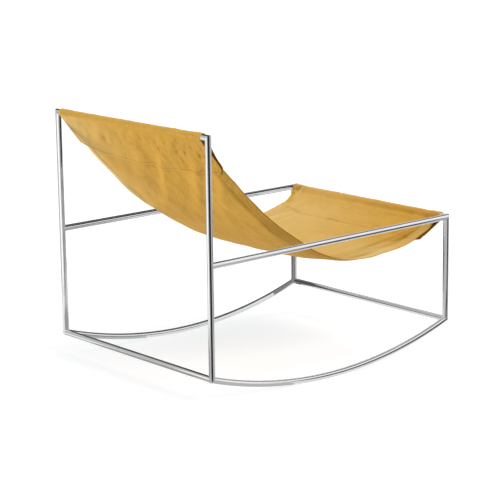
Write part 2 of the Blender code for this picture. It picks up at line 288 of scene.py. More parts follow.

# %% [markdown]
# ## Cards for the steel
# A photographer stands black and white cards close to a polished tube, just out of the picture, so
# that it shows crisp lines along its length. These cards do the same here. They are seen by mirrored
# rays only, so they cast no shadow and light nothing, and some can lie under the chair or stand over
# its seat, where a real card would be in the picture. The grey card under the back is a painted
# shadow: it darkens the floor that the steel mirrors behind and under the chair.

# %% Cards
CARDS = {"black card behind": (upright((0.503, -0.455), (0.477, -0.68), 0, 1.2), 0.02),
         "black card over the seat": (upright((-0.12, 2.0), (-0.12, -0.45), 0.55, 1.5), 0.02),
         "black card at the left": (upright((-0.41, -0.42), (-0.41, 1.15), 0, 0.27), 0.08),
         "black card in front": (upright((0.75, 0.92), (0.95, 0.45), 0, 0.36), 0.02),
         "grey card at the left foot": (upright((-0.26, 0.535), (-0.345, 0.385), 0, 0.20), 0.25),
         "grey card at the right": (lying((0.55, 0.20), (1.05, 0.95), 0.002), 0.25),
         "pale card over the seat": (upright((-0.10, 0.30), (-0.10, 1.30), 0.50, 1.3), 0.65),
         "pale card at the left": (upright((-0.70, 0.45), (-0.70, 1.50), 0.05, 1.2), 0.65),
         "pale card under the seat": (lying((-0.50, -0.15), (0.40, 1.20), 0.001), 0.85),
         # painted shadow: the floor in the chair's shade, as the steel mirrors it
         "grey card under the back": (lying((-0.30, -0.90), (0.20, 0.10), 0.002), 0.38),
         "white card behind": (upright((0.35, -1.2), (-0.63, -1.2), 0, 0.75), 1.2),
         "white card on the floor": (lying((-0.95, -1.15), (0.10, -0.52), 0.001), 1.0)}

for name, (corners, shade) in CARDS.items():
    surface, tree = empty_material(name)
    end_one_sided(tree, add(tree, "ShaderNodeEmission", {"Color": grey(shade)}).outputs[0])
    sheet = flat_sheet(name, corners, surface)
    sheet.visible_camera = False
    sheet.visible_diffuse = False
    sheet.visible_shadow = False
    sheet.visible_transmission = False
print(len(CARDS), "cards")

# %% [markdown]
# ## Shared effects
# Two effects turn up in more than one material, so each is a node group with named inputs. *Mottle*
# is the soft unevenness of anything made or handled: smudges on steel, faded patches in cloth.
# *Weave* is a plain weave, warp over weft and weft over warp, with the odd thick thread. It works on
# the cloth's own UV map, which is in metres, so the threads follow the cloth round every bend.

# %% Mottle group
def shader_group(name, inputs, outputs):
    """New node group with number sockets, except for its coordinates."""
    group = bpy.data.node_groups.new(name, "ShaderNodeTree")
    for socket in inputs:
        kind = "NodeSocketVector" if socket == "Coordinates" else "NodeSocketFloat"
        group.interface.new_socket(socket, in_out="INPUT", socket_type=kind)
    for socket in outputs:
        group.interface.new_socket(socket, in_out="OUTPUT", socket_type="NodeSocketFloat")
    return group, add(group, "NodeGroupInput").outputs


def effect(tree, group, **inputs):
    """Place a node group in a material, with its inputs, and give its outputs."""
    named = {name.replace("_", " ").capitalize(): value for name, value in inputs.items()}
    return add(tree, "ShaderNodeGroup", named, node_tree=group).outputs


mottle, given = shader_group("mottle", ["Coordinates", "Patch size", "Least", "Most"], ["Value"])
scale = calc(mottle, "DIVIDE", 1.0, given["Patch size"])
noise = add(mottle, "ShaderNodeTexNoise", {"Vector": given["Coordinates"], "Scale": scale,
                                           "Detail": 3.0, "Roughness": 0.55}).outputs[0]
add(mottle, "NodeGroupOutput", {"Value": mapped(mottle, noise, 0.3, 0.7, given["Least"], given["Most"])})


def mottled(tree, uv, patch_size, least=0.0, most=1.0):
    return effect(tree, mottle, coordinates=uv, patch_size=patch_size, least=least, most=most)["Value"]


print("group:", mottle.name)

# %% Weave group
SLUB_BREADTH = 0.0012         # of a thick thread
SLUB_LENGTH = 0.060


def stretched(tree, coordinates, across, along):
    """Noise drawn out along one direction of the surface, as thick threads are."""
    sizes = (1 / across, 1 / along, 1)
    placed = add(tree, "ShaderNodeVectorMath", {0: coordinates, 1: sizes}, operation="MULTIPLY").outputs[0]
    return add(tree, "ShaderNodeTexNoise", {"Vector": placed, "Scale": 1.0, "Detail": 1.0}).outputs[0]


weave, given = shader_group("weave", ["Coordinates", "Thread pitch"], ["Height", "Slubs"])


def bulge(place):
    """Height across the threads, from 0 between two of them to 1 on their middles."""
    return calc(weave, "SINE", calc(weave, "MULTIPLY", calc(weave, "FRACT", place), math.pi))


def on_top(thread, crossed):
    return calc(weave, "MULTIPLY", thread, calc(weave, "MULTIPLY_ADD", crossed, 0.5, 0.5))


cells = add(weave, "ShaderNodeSeparateXYZ", {0: given["Coordinates"]}).outputs
warp = calc(weave, "DIVIDE", cells["X"], given["Thread pitch"])
weft = calc(weave, "DIVIDE", cells["Y"], given["Thread pitch"])
count = calc(weave, "ADD", calc(weave, "FLOOR", warp), calc(weave, "FLOOR", weft))
weft_on_top = calc(weave, "FLOORED_MODULO", count, 2.0)
round_warp, round_weft = bulge(warp), bulge(weft)
height = blended(weave, weft_on_top, on_top(round_warp, round_weft), on_top(round_weft, round_warp),
                 "FLOAT")
thick_warp = stretched(weave, given["Coordinates"], SLUB_BREADTH, SLUB_LENGTH)
thick_weft = stretched(weave, given["Coordinates"], SLUB_LENGTH, SLUB_BREADTH)
slubs = calc(weave, "MULTIPLY", calc(weave, "ADD", thick_warp, thick_weft), 0.5)
add(weave, "NodeGroupOutput", {"Height": height, "Slubs": slubs})
print("group:", weave.name)

# %% [markdown]
# ## Polished steel
# The frame is stainless tube, polished along its length until it mirrors the room. Metal has no
# colour of its own but its mirror's, so what makes it look real is in the roughness: fine polishing
# lines, smudges from hands, and a band by each weld where the heat and the grinding left it duller.
# The lines follow the tube's UV map, which runs round and along it in metres.

# %% Steel material
POLISH_BREADTH = 0.0006       # of a polishing line
POLISH_LENGTH = 0.08
POLISHED = 0.05               # least roughness, and what lines and the welds' bands add to it
LINE_ROUGHNESS = 0.05
WELD_ROUGHNESS = 0.14


def new_material(name, **constants):
    """Material with the Principled shader; what is the same all over is set on its own sockets."""
    material = bpy.data.materials.new(name)
    material.use_nodes = True
    shader = material.node_tree.nodes["Principled BSDF"]
    for socket, value in constants.items():
        shader.inputs[socket.replace("_", " ")].default_value = value
    return material, material.node_tree, shader


def feed(tree, shader, socket, value):
    tree.links.new(value, shader.inputs[socket])


def carried(tree, mark):
    """A mark that the mesh carries at its points."""
    return add(tree, "ShaderNodeAttribute", attribute_name=mark).outputs["Fac"]


def bumped(tree, height, strength, distance, **under):
    """Normal that a height in the material gives, over another normal if there is one."""
    inputs = {"Height": height, "Strength": strength, "Distance": distance, **under}
    return add(tree, "ShaderNodeBump", inputs).outputs[0]


steel, tree, shader = new_material("polished steel", Metallic=1.0)
uv = add(tree, "ShaderNodeTexCoord").outputs["UV"]
lines = stretched(tree, uv, POLISH_BREADTH, POLISH_LENGTH)
worn = calc(tree, "MULTIPLY_ADD", lines, LINE_ROUGHNESS, mottled(tree, uv, 0.05, 0.0, 0.05))
dulled = calc(tree, "MULTIPLY_ADD", carried(tree, "weld"), WELD_ROUGHNESS, worn)
feed(tree, shader, "Roughness", calc(tree, "ADD", dulled, POLISHED))
tone = blended(tree, mottled(tree, uv, 0.12), (0.80, 0.80, 0.81, 1), (0.86, 0.86, 0.87, 1))
feed(tree, shader, "Base Color", tone)
feed(tree, shader, "Normal", bumped(tree, lines, 0.05, 0.0001))
print("material:", steel.name)

# %% [markdown]
# ## Tubes and their cut ends
# At the frame's corners, two tubes of one size are cut on a mitre and meet on a flat face. Where a
# tube runs into the side of another, its end is cut to a saddle that fits round it. Both cuts are a
# rule for how far each line of the tube runs, so a tube is lofted from rings whose points have been
# pushed along the axis to the cut. The solids have the same cuts with few sides; these tubes have
# more, and close the small gap that the solids leave for the weld.

# %% Mitre and saddle cuts
TUBE_RADIUS = 0.009
TUBE_WALL = 0.0015
SADDLE_SINK = 0.0002          # how far a saddle is melted into the tube that it is welded to
FORWARD = Vector((0, 1, 0))
UP = Vector((0, 0, 1))


def mitre_cut(corner, away, others):
    """Flat cut through the corner, half way between this tube, which runs away, and the other one."""
    normal = (away - others[0]).normalized()
    return lambda offset: corner + offset - away * offset.dot(normal) / away.dot(normal)


def saddle_cut(corner, away, others):
    """Curved cut that fits this tube's end round the other tubes at the corner."""
    reach = TUBE_RADIUS - SADDLE_SINK

    def cut(offset):
        nearest = max(others, key=offset.dot)
        miss = offset.dot(away.cross(nearest))
        return corner + offset + away * math.sqrt(max(reach ** 2 - miss ** 2, 0))
    return cut


print("tube", 2000 * TUBE_RADIUS, "mm, wall", 1000 * TUBE_WALL, "mm")

# %% Loft a tube
TUBE_SIDES = 64
WELD_BAND = 0.030             # from a corner to where the tube is fully polished again
SHARP_ANGLE = 42              # degrees, past which an edge stays crisp


def ring(direction, radius):
    """Offsets from a tube's axis to the points of a ring round it."""
    across = UP if abs(direction.dot(RIGHT)) > 0.5 else direction.cross(RIGHT).normalized()
    beside = direction.cross(across)
    angles = [2 * math.pi * k / TUBE_SIDES for k in range(TUBE_SIDES)]
    return [radius * (across * math.cos(a) + beside * math.sin(a)) for a in angles]


def tube_mesh(name, ends, stations):
    """Closed hollow tube. Ends are (direction, cut) twice; stations between are (point, direction)."""
    shape = bmesh.new()
    weld = shape.verts.layers.float.new("weld")
    uv = shape.loops.layers.uv.new("UVMap")
    walls = []
    for radius in (TUBE_RADIUS, TUBE_RADIUS - TUBE_WALL):
        (start, start_cut), (end, end_cut) = ends
        rings = [[start_cut(offset) for offset in ring(start, radius)]]
        rings += [[point + offset for offset in ring(ahead, radius)] for point, ahead in stations]
        rings.append([end_cut(offset) for offset in ring(end, radius)])
        walls.append([[shape.verts.new(place) for place in points] for points in rings])
    outer, inner = walls
    for vertex in outer[0] + outer[-1]:
        vertex[weld] = 1
    strips = list(zip(outer, outer[1:])) + list(zip(inner[1:], inner))
    strips += [(inner[0], outer[0]), (outer[-1], inner[-1])]
    girth = 2 * math.pi * TUBE_RADIUS / TUBE_SIDES
    run = 0
    for low, high in strips:
        further = run + (high[0].co - low[0].co).length
        for k in range(TUBE_SIDES):
            after = (k + 1) % TUBE_SIDES
            face = shape.faces.new((low[k], low[after], high[after], high[k]))
            spots = ((k, run), (k + 1, run), (k + 1, further), (k, further))
            for loop, (step, along) in zip(face.loops, spots):
                loop[uv].uv = (step * girth, along)
        run = further
    bmesh.ops.recalc_face_normals(shape, faces=shape.faces)
    mesh = bpy.data.meshes.new(name)
    shape.to_mesh(mesh)
    shape.free()
    mesh.transform(STAND)
    return mesh


def dress(name, mesh, material, slot, *nodes):
    """Show a finished mesh as a piece of the chair, in the place of the solids that it stands for."""
    if material:
        mesh.materials.append(material)
    mesh.shade_smooth()
    mesh.set_sharp_from_angle(angle=math.radians(SHARP_ANGLE))
    piece = bpy.data.objects.new(name, mesh)
    scene.collection.objects.link(piece)
    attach(piece, "root")
    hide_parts(*nodes)
    return piece


def straight_tube(node, start, start_cut, end, end_cut):
    """Straight tube from corner to corner; a cut is (kind of cut, the other tubes' directions)."""
    ahead = (end - start).normalized()
    ends = [(ahead, start_cut[0](start, ahead, start_cut[1])), (ahead, end_cut[0](end, -ahead, end_cut[1]))]
    stations = [(start + ahead * WELD_BAND, ahead), (end - ahead * WELD_BAND, ahead)]
    return dress(f"polished_{node}", tube_mesh(node, ends, stations), steel, "steel", node)


print("tubes with", TUBE_SIDES, "sides")

# %% [markdown]
# ## The two side frames
# Each side has a tall rear upright, a short front one, a rail and a rocker. The rocker is one tube
# rolled to a single arc that passes through both feet, so its radius follows from the frame's depth
# and how far the arc drops in the middle. The uprights stand on its ends, cut on a mitre.

# %% Rocker arc
ROCKER_DROP = 0.079
ROCKER_STEP = 0.010

ROCKER_RADIUS = DEPTH ** 2 / (8 * ROCKER_DROP) + ROCKER_DROP / 2
ROCKER_SWEEP = math.asin(DEPTH / 2 / ROCKER_RADIUS)
REAR_TANGENT = Vector((0, math.cos(ROCKER_SWEEP), -math.sin(ROCKER_SWEEP)))
FRONT_TANGENT = Vector((0, -math.cos(ROCKER_SWEEP), -math.sin(ROCKER_SWEEP)))


def rocker_stations(x):
    """Places and directions along a rocker, between its two cut ends."""
    centre = Vector((x, DEPTH / 2, ROCKER_RADIUS - ROCKER_DROP))
    count = round(2 * ROCKER_SWEEP * ROCKER_RADIUS / ROCKER_STEP)
    stations = []
    for k in range(2, count - 1):
        angle = ROCKER_SWEEP * (2 * k / count - 1)
        point = centre + ROCKER_RADIUS * Vector((0, math.sin(angle), -math.cos(angle)))
        stations.append((point, Vector((0, math.cos(angle), math.sin(angle)))))
    return stations


print(f"rocker radius {ROCKER_RADIUS:.3f} m")

# %% Side frames
def side_frame(side, x):
    rear_low, rear_high = Vector((x, 0, 0)), Vector((x, 0, BACK_HEIGHT))
    front_low, front_high = Vector((x, DEPTH, 0)), Vector((x, DEPTH, RAIL_HEIGHT))
    inward = RIGHT if x < 0 else -RIGHT
    straight_tube(f"rear_upright_{side}", rear_low, (mitre_cut, [REAR_TANGENT]),
                  rear_high, (mitre_cut, [inward]))
    straight_tube(f"front_upright_{side}", front_low, (mitre_cut, [FRONT_TANGENT]),
                  front_high, (mitre_cut, [-FORWARD]))
    straight_tube(f"side_rail_{side}", Vector((x, 0, RAIL_HEIGHT)), (saddle_cut, [UP]),
                  front_high, (mitre_cut, [-UP]))
    ends = [(REAR_TANGENT, mitre_cut(rear_low, REAR_TANGENT, [UP])),
            (-FRONT_TANGENT, mitre_cut(front_low, FRONT_TANGENT, [UP]))]
    node = f"rocker_{side}"
    dress(f"polished_{node}", tube_mesh(node, ends, rocker_stations(x)), steel, "steel", node)


side_frame("left", -HALF_SPAN)
side_frame("right", HALF_SPAN)
print("8 side tubes")

# %% [markdown]
# ## Cross bars
# Four bars tie the sides together. The upper rear bar is mitred to the tall uprights, which gives
# the square top corners of the back. The other three run into finished corners and are saddle cut
# round both tubes there.

# %% Four bars
BARS = {"rear_upper_bar": (0, BACK_HEIGHT, mitre_cut, [-UP]),
        "rear_lower_bar": (0, 0, saddle_cut, [UP, REAR_TANGENT]),
        "front_upper_bar": (DEPTH, RAIL_HEIGHT, saddle_cut, [-UP, -FORWARD]),
        "front_lower_bar": (DEPTH, 0, saddle_cut, [UP, FRONT_TANGENT])}

for node, (y, z, cut, others) in BARS.items():
    straight_tube(node, Vector((-HALF_SPAN, y, z)), (cut, others), Vector((HALF_SPAN, y, z)), (cut, others))
print(len(BARS), "cross bars")

# %% [markdown]
# ## Weld beads
# Where a saddle cut meets the tube beside it, a thin bead of weld fills the corner and is polished
# over. A bead follows a closed line round the joint, so it suits Geometry Nodes: the script draws
# the eight lines as bare edges, and the tree turns each line to a curve and sweeps a small circle
# along it. The mitred corners are ground flush, so they have none.

# %% Lines of the saddle joints
def saddle_line(corner, away, others):
    cut = saddle_cut(corner, away, others)
    return [cut(offset) for offset in ring(away, TUBE_RADIUS)]


bead_lines = [saddle_line(Vector((x, 0, RAIL_HEIGHT)), FORWARD, [UP]) for x in (-HALF_SPAN, HALF_SPAN)]
for node, (y, z, cut, others) in BARS.items():
    if cut is saddle_cut:
        bead_lines.append(saddle_line(Vector((-HALF_SPAN, y, z)), RIGHT, others))
        bead_lines.append(saddle_line(Vector((HALF_SPAN, y, z)), -RIGHT, others))


def line_object(name, lines, closed):
    """Object of bare edges along lines of points, for a node tree to work on."""
    points, edges = [], []
    for line in lines:
        first = len(points)
        points += [tuple(p) for p in line]
        edges += [(first + k, first + k + 1) for k in range(len(line) - 1)]
        if closed:
            edges.append((len(points) - 1, first))
    mesh = bpy.data.meshes.new(name)
    mesh.from_pydata(points, edges, [])
    piece = bpy.data.objects.new(name, mesh)
    scene.collection.objects.link(piece)
    return piece


print(len(bead_lines), "saddle joints")

# %% Bead tree
BEAD_RADIUS = 0.0011


def geometry_tree(name, **inputs):
    """Geometry node tree that takes and gives one geometry; inputs are socket names and their kinds."""
    tree = bpy.data.node_groups.new(name, "GeometryNodeTree")
    tree.interface.new_socket("Geometry", in_out="INPUT", socket_type="NodeSocketGeometry")
    tree.interface.new_socket("Geometry", in_out="OUTPUT", socket_type="NodeSocketGeometry")
    for socket, kind in inputs.items():
        tree.interface.new_socket(socket, in_out="INPUT", socket_type=f"NodeSocket{kind}")
    return tree, add(tree, "NodeGroupInput").outputs


def close_tree(tree, shape, material):
    """End a tree with real, smooth geometry in one material."""
    real = add(tree, "GeometryNodeRealizeInstances", {0: shape}).outputs[0]
    smooth = add(tree, "GeometryNodeSetShadeSmooth", {0: real}).outputs[0]
    finished = add(tree, "GeometryNodeSetMaterial", {"Geometry": smooth, "Material": material}).outputs[0]
    add(tree, "NodeGroupOutput", {"Geometry": finished})


def grow(piece, tree, **values):
    """Run a tree on an object of lines, with its named inputs, and give the result as a plain mesh."""
    modifier = piece.modifiers.new(tree.name, "NODES")
    modifier.node_group = tree
    sockets = {item.name: item.identifier for item in tree.interface.items_tree if item.in_out == "INPUT"}
    for name, value in values.items():
        modifier[sockets[name]] = value
    depsgraph = bpy.context.evaluated_depsgraph_get()
    mesh = bpy.data.meshes.new_from_object(piece.evaluated_get(depsgraph), depsgraph=depsgraph)
    piece.modifiers.remove(modifier)
    bpy.data.objects.remove(piece)
    mesh.transform(STAND)
    return mesh


bead_tree, given = geometry_tree("weld bead", Radius="Float", Finish="Material")
line = add(bead_tree, "GeometryNodeMeshToCurve", {0: given["Geometry"]}).outputs[0]
profile = add(bead_tree, "GeometryNodeCurvePrimitiveCircle",
              {"Resolution": 10, "Radius": given["Radius"]}).outputs[0]
swept = add(bead_tree, "GeometryNodeCurveToMesh", {"Curve": line, "Profile Curve": profile}).outputs[0]
close_tree(bead_tree, swept, given["Finish"])

bead_mesh = grow(line_object("weld_lines", bead_lines, True), bead_tree, Radius=BEAD_RADIUS, Finish=steel)
dress("weld_beads", bead_mesh, None, "steel")
print("weld beads:", len(bead_mesh.polygons), "faces")

# %% [markdown]
# ## Canvas
# The sling is heavy cotton canvas dyed ochre. Close to, it is a plain weave with the odd thick
# thread, which gives it a dry, slightly streaky colour. The mesh carries three marks for the rest.
# The first is wear, where folds and edges have worn pale, and also painted light that makes the left
# hem paler. The second is painted light: painted glare on the seat, painted light on the left of the
# back and on the crests of wrinkles, and a paler band on the seat's right hem. The third is grime in
# seams together with painted shade in creases, along edges and past the flaps, which past a limit
# turns to the deep brown of painted shade between two layers. The fine hairs of cotton catch a little
# light at a glancing angle, which is the shader's sheen.

# %% Canvas material
THREAD_PITCH = 0.0007
DYE = (0.655, 0.345, 0.045, 1)
FADED_DYE = (0.72, 0.400, 0.060, 1)
SLUB = (0.76, 0.46, 0.095, 1)
# tone of wear, and of painted light on the left hem
RUB_AND_LIGHT_TONE = (0.80, 0.53, 0.16, 1)
# tone of painted light and painted glare
PAINTED_LIGHT_TONE = (0.82, 0.57, 0.21, 1)
# tone of grime in seams, and of painted shade
GRIME_AND_SHADE_TONE = (0.40, 0.18, 0.012, 1)
# deep brown of painted shade between two layers
DEEP_SHADE_TONE = (0.26, 0.100, 0.004, 1)
RUB_AND_LIGHT_SHARE = 0.30              # how far a full mark goes towards its colour
GRIME_AND_SHADE_SHARE = 0.55
DEEP_SHADE_LIMITS = (1.8, 3.2)       # the mark at which the deep brown of painted shade starts, and is complete

canvas, tree, shader = new_material("ochre canvas", Sheen_Weight=0.03, Sheen_Roughness=0.50,
                                    Sheen_Tint=(1.0, 0.97, 0.90, 1), Specular_IOR_Level=0.14)
uv = add(tree, "ShaderNodeTexCoord").outputs["UV"]
cloth = effect(tree, weave, coordinates=uv, thread_pitch=THREAD_PITCH)
dyed = blended(tree, mottled(tree, uv, 0.07), DYE, FADED_DYE)
streaky = blended(tree, mapped(tree, cloth["Slubs"], 0.36, 0.64, 0.0, 0.30), dyed, SLUB)
# wear, and painted light on the left hem
rubbed = blended(tree, calc(tree, "MULTIPLY", carried(tree, "rub"), RUB_AND_LIGHT_SHARE), streaky, RUB_AND_LIGHT_TONE)
# painted light and painted glare make the colour paler
lightened = blended(tree, carried(tree, "sun"), rubbed, PAINTED_LIGHT_TONE)
grime_and_shade_mark = carried(tree, "grime")
# grime in seams, and painted shade
grimed_and_shaded = blended(tree, calc(tree, "MULTIPLY", grime_and_shade_mark, GRIME_AND_SHADE_SHARE), lightened, GRIME_AND_SHADE_TONE)
# past a limit, the painted shade turns deep brown
feed(tree, shader, "Base Color", blended(tree, mapped(tree, grime_and_shade_mark, *DEEP_SHADE_LIMITS), grimed_and_shaded, DEEP_SHADE_TONE))
feed(tree, shader, "Roughness", mottled(tree, uv, 0.03, 0.82, 0.95))
relief = calc(tree, "MULTIPLY_ADD", cloth["Slubs"], 1.2, cloth["Height"])
threads = bumped(tree, relief, 0.35, 0.0003)
feed(tree, shader, "Normal", bumped(tree, mottled(tree, uv, 0.018), 0.8, 0.0016, Normal=threads))
print("material:", canvas.name, "with threads every", 1000 * THREAD_PITCH, "mm")

# %% [markdown]
# ## How the canvas hangs
# Seen from the side, the canvas leaves the rear bar steeply, sags to its lowest point under the
# sitter's hips and climbs again to the front bar. Its side edges are shorter than its middle, so they
# hang tighter. Each lengthwise line of the cloth is drawn as two Bezier curves that meet at the
# lowest point, with the same numbers as the solid. A cloth solver could find such a shape too, but
# the photograph already shows it, and a drawn curve keeps to the picture.

# %% Hang line
CANVAS = 0.0014
SIDE_GAP = 0.013              # from the canvas's side edge to the upright beside it
HALF_WIDTH = HALF_SPAN - TUBE_RADIUS - SIDE_GAP
WAIST = 0.009                 # how far each side edge draws in half way along
EDGE_CURL = 4                 # the higher, the closer to the edges the cross curve keeps
EDGE_REAR_SLOPE = 75.8        # degrees below the level, where the edges leave the rear bar
MIDDLE_REAR_SLOPE = 61.6
FRONT_SLOPE = 53.8
SEAT_SETBACK = 0.3215         # the side edges' lowest point, behind the front bar
SEAT_DROP = 0.0833            # and below the rails
MIDDLE_SETBACK = 0.063        # the middle's lowest point is this much further back
MIDDLE_SAG = 0.0095           # and this much lower
REAR_PULL = 0.0956            # lengths of the curves' four handles
BACK_PULL = 0.2817
SEAT_PULL = 0.030
FRONT_PULL = 0.0945
REAR_BAR = np.array([0, BACK_HEIGHT])
FRONT_BAR = np.array([DEPTH, RAIL_HEIGHT])


def turned(angle):
    return np.stack([np.cos(angle), np.sin(angle)], axis=-1)


def bezier(a, b, c, d, count=160):
    t = np.linspace(0, 1, count)[:, None]
    return a * (1 - t) ** 3 + 3 * b * t * (1 - t) ** 2 + 3 * c * t ** 2 * (1 - t) + d * t ** 3


def hang_line(v, sleeve):
    """Points (Y, Z) from bar to bar at share v of the half width, and the angles at the two bars."""
    middle = 1 - abs(v) ** EDGE_CURL
    rear_slope = math.radians(EDGE_REAR_SLOPE + (MIDDLE_REAR_SLOPE - EDGE_REAR_SLOPE) * middle)
    front_slope = math.radians(FRONT_SLOPE)
    rear_angle = math.pi / 2 - rear_slope
    front_angle = math.pi / 2 + front_slope
    rear = REAR_BAR + sleeve * turned(rear_angle)
    front = FRONT_BAR + sleeve * turned(front_angle)
    low = np.array([DEPTH - SEAT_SETBACK - MIDDLE_SETBACK * middle,
                    RAIL_HEIGHT - SEAT_DROP - MIDDLE_SAG * middle])
    level = np.array([1, 0])
    back = bezier(rear, rear + REAR_PULL * turned(-rear_slope), low - BACK_PULL * level, low)
    seat = bezier(low, low + SEAT_PULL * level, front - FRONT_PULL * turned(front_slope), front)
    return np.concatenate([back, seat[1:]]), rear_angle, front_angle


def run_length(line):
    """Distance from the line's start to each of its points."""
    return np.concatenate([[0], np.cumsum(np.linalg.norm(np.diff(line, axis=0), axis=1))])


def half_width(share):
    """Half of the canvas's width at a share of the way along the panel."""
    return HALF_WIDTH - WAIST * np.sin(math.pi * share)


lengths = [run_length(hang_line(v, TUBE_RADIUS + CANVAS)[0])[-1] for v in (0, 1)]
print(f"panel {lengths[0]:.3f} m long in the middle, {lengths[1]:.3f} m at the edges")

# %% [markdown]
# ## Tools for folds
# Folds, creases and wear are all a value at a place on the cloth. Three shapes make most of them: a
# smooth step, a stretch between two steps, and a bell. The rest is chance. Random soft hills are a
# sum of cosine waves with random directions, which has no grid to show, and each set has its own
# fixed seed, so the cloth is the same every time.

# %% Steps, bells and hills
CREASE_BREADTH = 0.10         # a crease is where the hills pass through 0, this closely


def rise(value, start, end):
    """Smooth step from 0 to 1 between start and end, which may run either way."""
    t = np.clip((value - start) / (end - start), 0, 1)
    return t * t * (3 - 2 * t)


def between(value, start, full, fade, end):
    """1 from full to fade, and smoothly down to 0 at start and end."""
    return rise(value, start, full) * rise(value, end, fade)


def bell(value, middle, breadth):
    """1 at the middle, and smoothly down to 0 about two breadths away."""
    return np.exp(-((value - middle) / breadth) ** 2)


def hills(x, s, across, along, seed, waves=28):
    """Soft random hills of a breadth and a length, mostly from -1 to 1."""
    pick = np.random.default_rng(seed)
    turn_x = pick.normal(0, 1 / across, waves)
    turn_s = pick.normal(0, 1 / along, waves)
    phase = pick.uniform(0, 2 * math.pi, waves)
    total = sum(np.cos(a * x + b * s + c) for a, b, c in zip(turn_x, turn_s, phase))
    return total / math.sqrt(waves)


def creases(x, s, across, along, seed):
    """Thin raised lines that wander over the cloth, from 0 to 1."""
    return bell(hills(x, s, across, along, seed), 0, CREASE_BREADTH)


sample = hills(np.linspace(0, 1, 500), 0, 0.1, 0.1, 1)
print(f"hills from {sample.min():.1f} to {sample.max():.1f}")

# %% [markdown]
# ## Folds of the panel
# Hung canvas is never smooth. Its own weight draws a few long folds down and forward over the back.
# The hems ripple, and the left one rolls towards the back and droops. The edges lift where the back
# is steep and sink beside the seat, pulled wrinkles run to the front corners, and the flap and the
# stiff tapes print through. Each is a height above the hang curve, towards the sitter, and is faded
# in only where the photograph has it.

# %% Edges of the flaps and what they print
FLAP_LENGTH = 0.137           # from the front bar, along the panel, to the flap's free edge
REAR_CROWN = 0.020            # the rear flap is this much longer in its middle
PRINT_RUN = 0.124             # from the front bar to where the stiff tapes print through the seat
HEM_WIDTH = 0.032             # edge turned to the underside, so the canvas is double there
PRINT_LINE = 0.0011           # depth of the crease beside what prints through,
PRINT_STEP = 0.0018           # and height of the step to it


def flap_length(x, from_front):
    """From a bar to its flap's free edge, which is cut back at the corners."""
    if from_front:
        return FLAP_LENGTH - np.maximum(np.abs(x) - 0.295, 0)
    cut = 0.40 * np.maximum(-x - 0.262, 0) + np.maximum(x - 0.310, 0)
    return FLAP_LENGTH + REAR_CROWN * (1 - (x / 0.30) ** 2) - cut


def seat_print(x):
    """From the front bar to the line that the tapes print through the seat, which bends at the left."""
    return PRINT_RUN - 0.27 * np.maximum(-x - 0.19, 0)


def prints(x, rear, front):
    total = 0
    for distance, end in ((rear, flap_length(x, False)), (front, seat_print(x))):
        line = -PRINT_LINE * bell(distance, end + 0.003, 0.0035)
        step = PRINT_STEP * rise(distance, end + 0.004, end - 0.004) * rise(distance, 0.06, 0.10)
        total = total + line + step
    return total


print(f"flaps {1000 * flap_length(0, True):.0f} and {1000 * flap_length(0, False):.0f} mm long")

# %% Folds of the back and pulls of the seat
BACK_FOLDS = ((0.02, 0.050, 0.035, 0.0065),       # place, breadth on each side and height
              (0.13, 0.020, 0.050, 0.0085),
              (0.28, 0.020, 0.020, 0.0055),
              (0.385, 0.030, 0.040, 0.0055))
SOFT_FOLD = 0.0012            # height of the chance folds between them


def back_folds(x, rear, edge):
    """Folds of the back, which hang down and forward from the rear bar and calm down at the edges."""
    place = x + 0.454 * rear + 0.624 * rear ** 2
    long_folds = 0
    for middle, left, right, height in BACK_FOLDS:
        long_folds = long_folds + height * bell(place, middle, np.where(place < middle, left, right))
    long_folds = long_folds * between(rear, 0.06, 0.15, 0.18, 0.44)
    soft = SOFT_FOLD * hills(place, rear, 0.020, 0.20, 11) * between(rear, 0.06, 0.17, 0.26, 0.60)
    return (soft - long_folds) * np.where(x < 0, rise(edge, 0.03, 0.13), rise(edge, 0.01, 0.07))


def corner_pulls(x, rear, front, edge):
    """Wrinkles that run along the seat's side edges to the front corners, mostly from -1 to 1."""
    streaks = hills(x - 0.25 * rear, rear, 0.007, 0.035, 12)
    return streaks * between(front, 0.03, 0.12, 0.30, 0.46) * between(edge, 0.020, 0.045, 0.07, 0.16)


print(len(BACK_FOLDS), "long folds")

# %% Hems and edges
HEM_RIPPLE = 0.0008
HEM_DIP = 0.0012              # beside the turned edge
HEM_ROLL = 0.0045             # of the left hem on the back
HEM_DROOP = 0.007
LEFT_LIFT = 0.0040            # of the edges beside the back
RIGHT_LIFT = 0.0075
LEFT_SINK = 0.010             # of the edges beside the seat
RIGHT_SINK = 0.006


def hem_shape(x, rear, edge):
    rippled = HEM_RIPPLE * hills(x, rear, 0.08, 0.030, 15) * rise(edge, 0.035, 0.005)
    dip = -HEM_DIP * between(edge, 0.010, 0.026, 0.034, 0.060)
    roll = HEM_ROLL * bell(edge, HEM_WIDTH, np.where(edge < HEM_WIDTH, 0.018, 0.022))
    roll = roll * between(rear, 0.14, 0.26, 0.62, 0.85)
    droop = -HEM_DROOP * rise(edge, HEM_WIDTH, 0.004) * between(rear, 0.16, 0.40, 0.75, 0.95)
    return rippled + dip + (roll + droop) * (x < 0)


def edge_shape(x, rear, front, edge):
    lift = np.where(x < 0, LEFT_LIFT * rise(rear, 0.07, 0.13), RIGHT_LIFT * rise(rear, 0.03, 0.24))
    lift = lift * rise(edge, 0.048, 0.0) * rise(rear, 0.62, 0.45)
    sink = np.where(x < 0, LEFT_SINK * bell(front, 0.045, 0.034), RIGHT_SINK * bell(front, 0.17, 0.09))
    return lift - sink * rise(edge, 0.050, 0.0)


print("hems", 1000 * HEM_WIDTH, "mm wide")

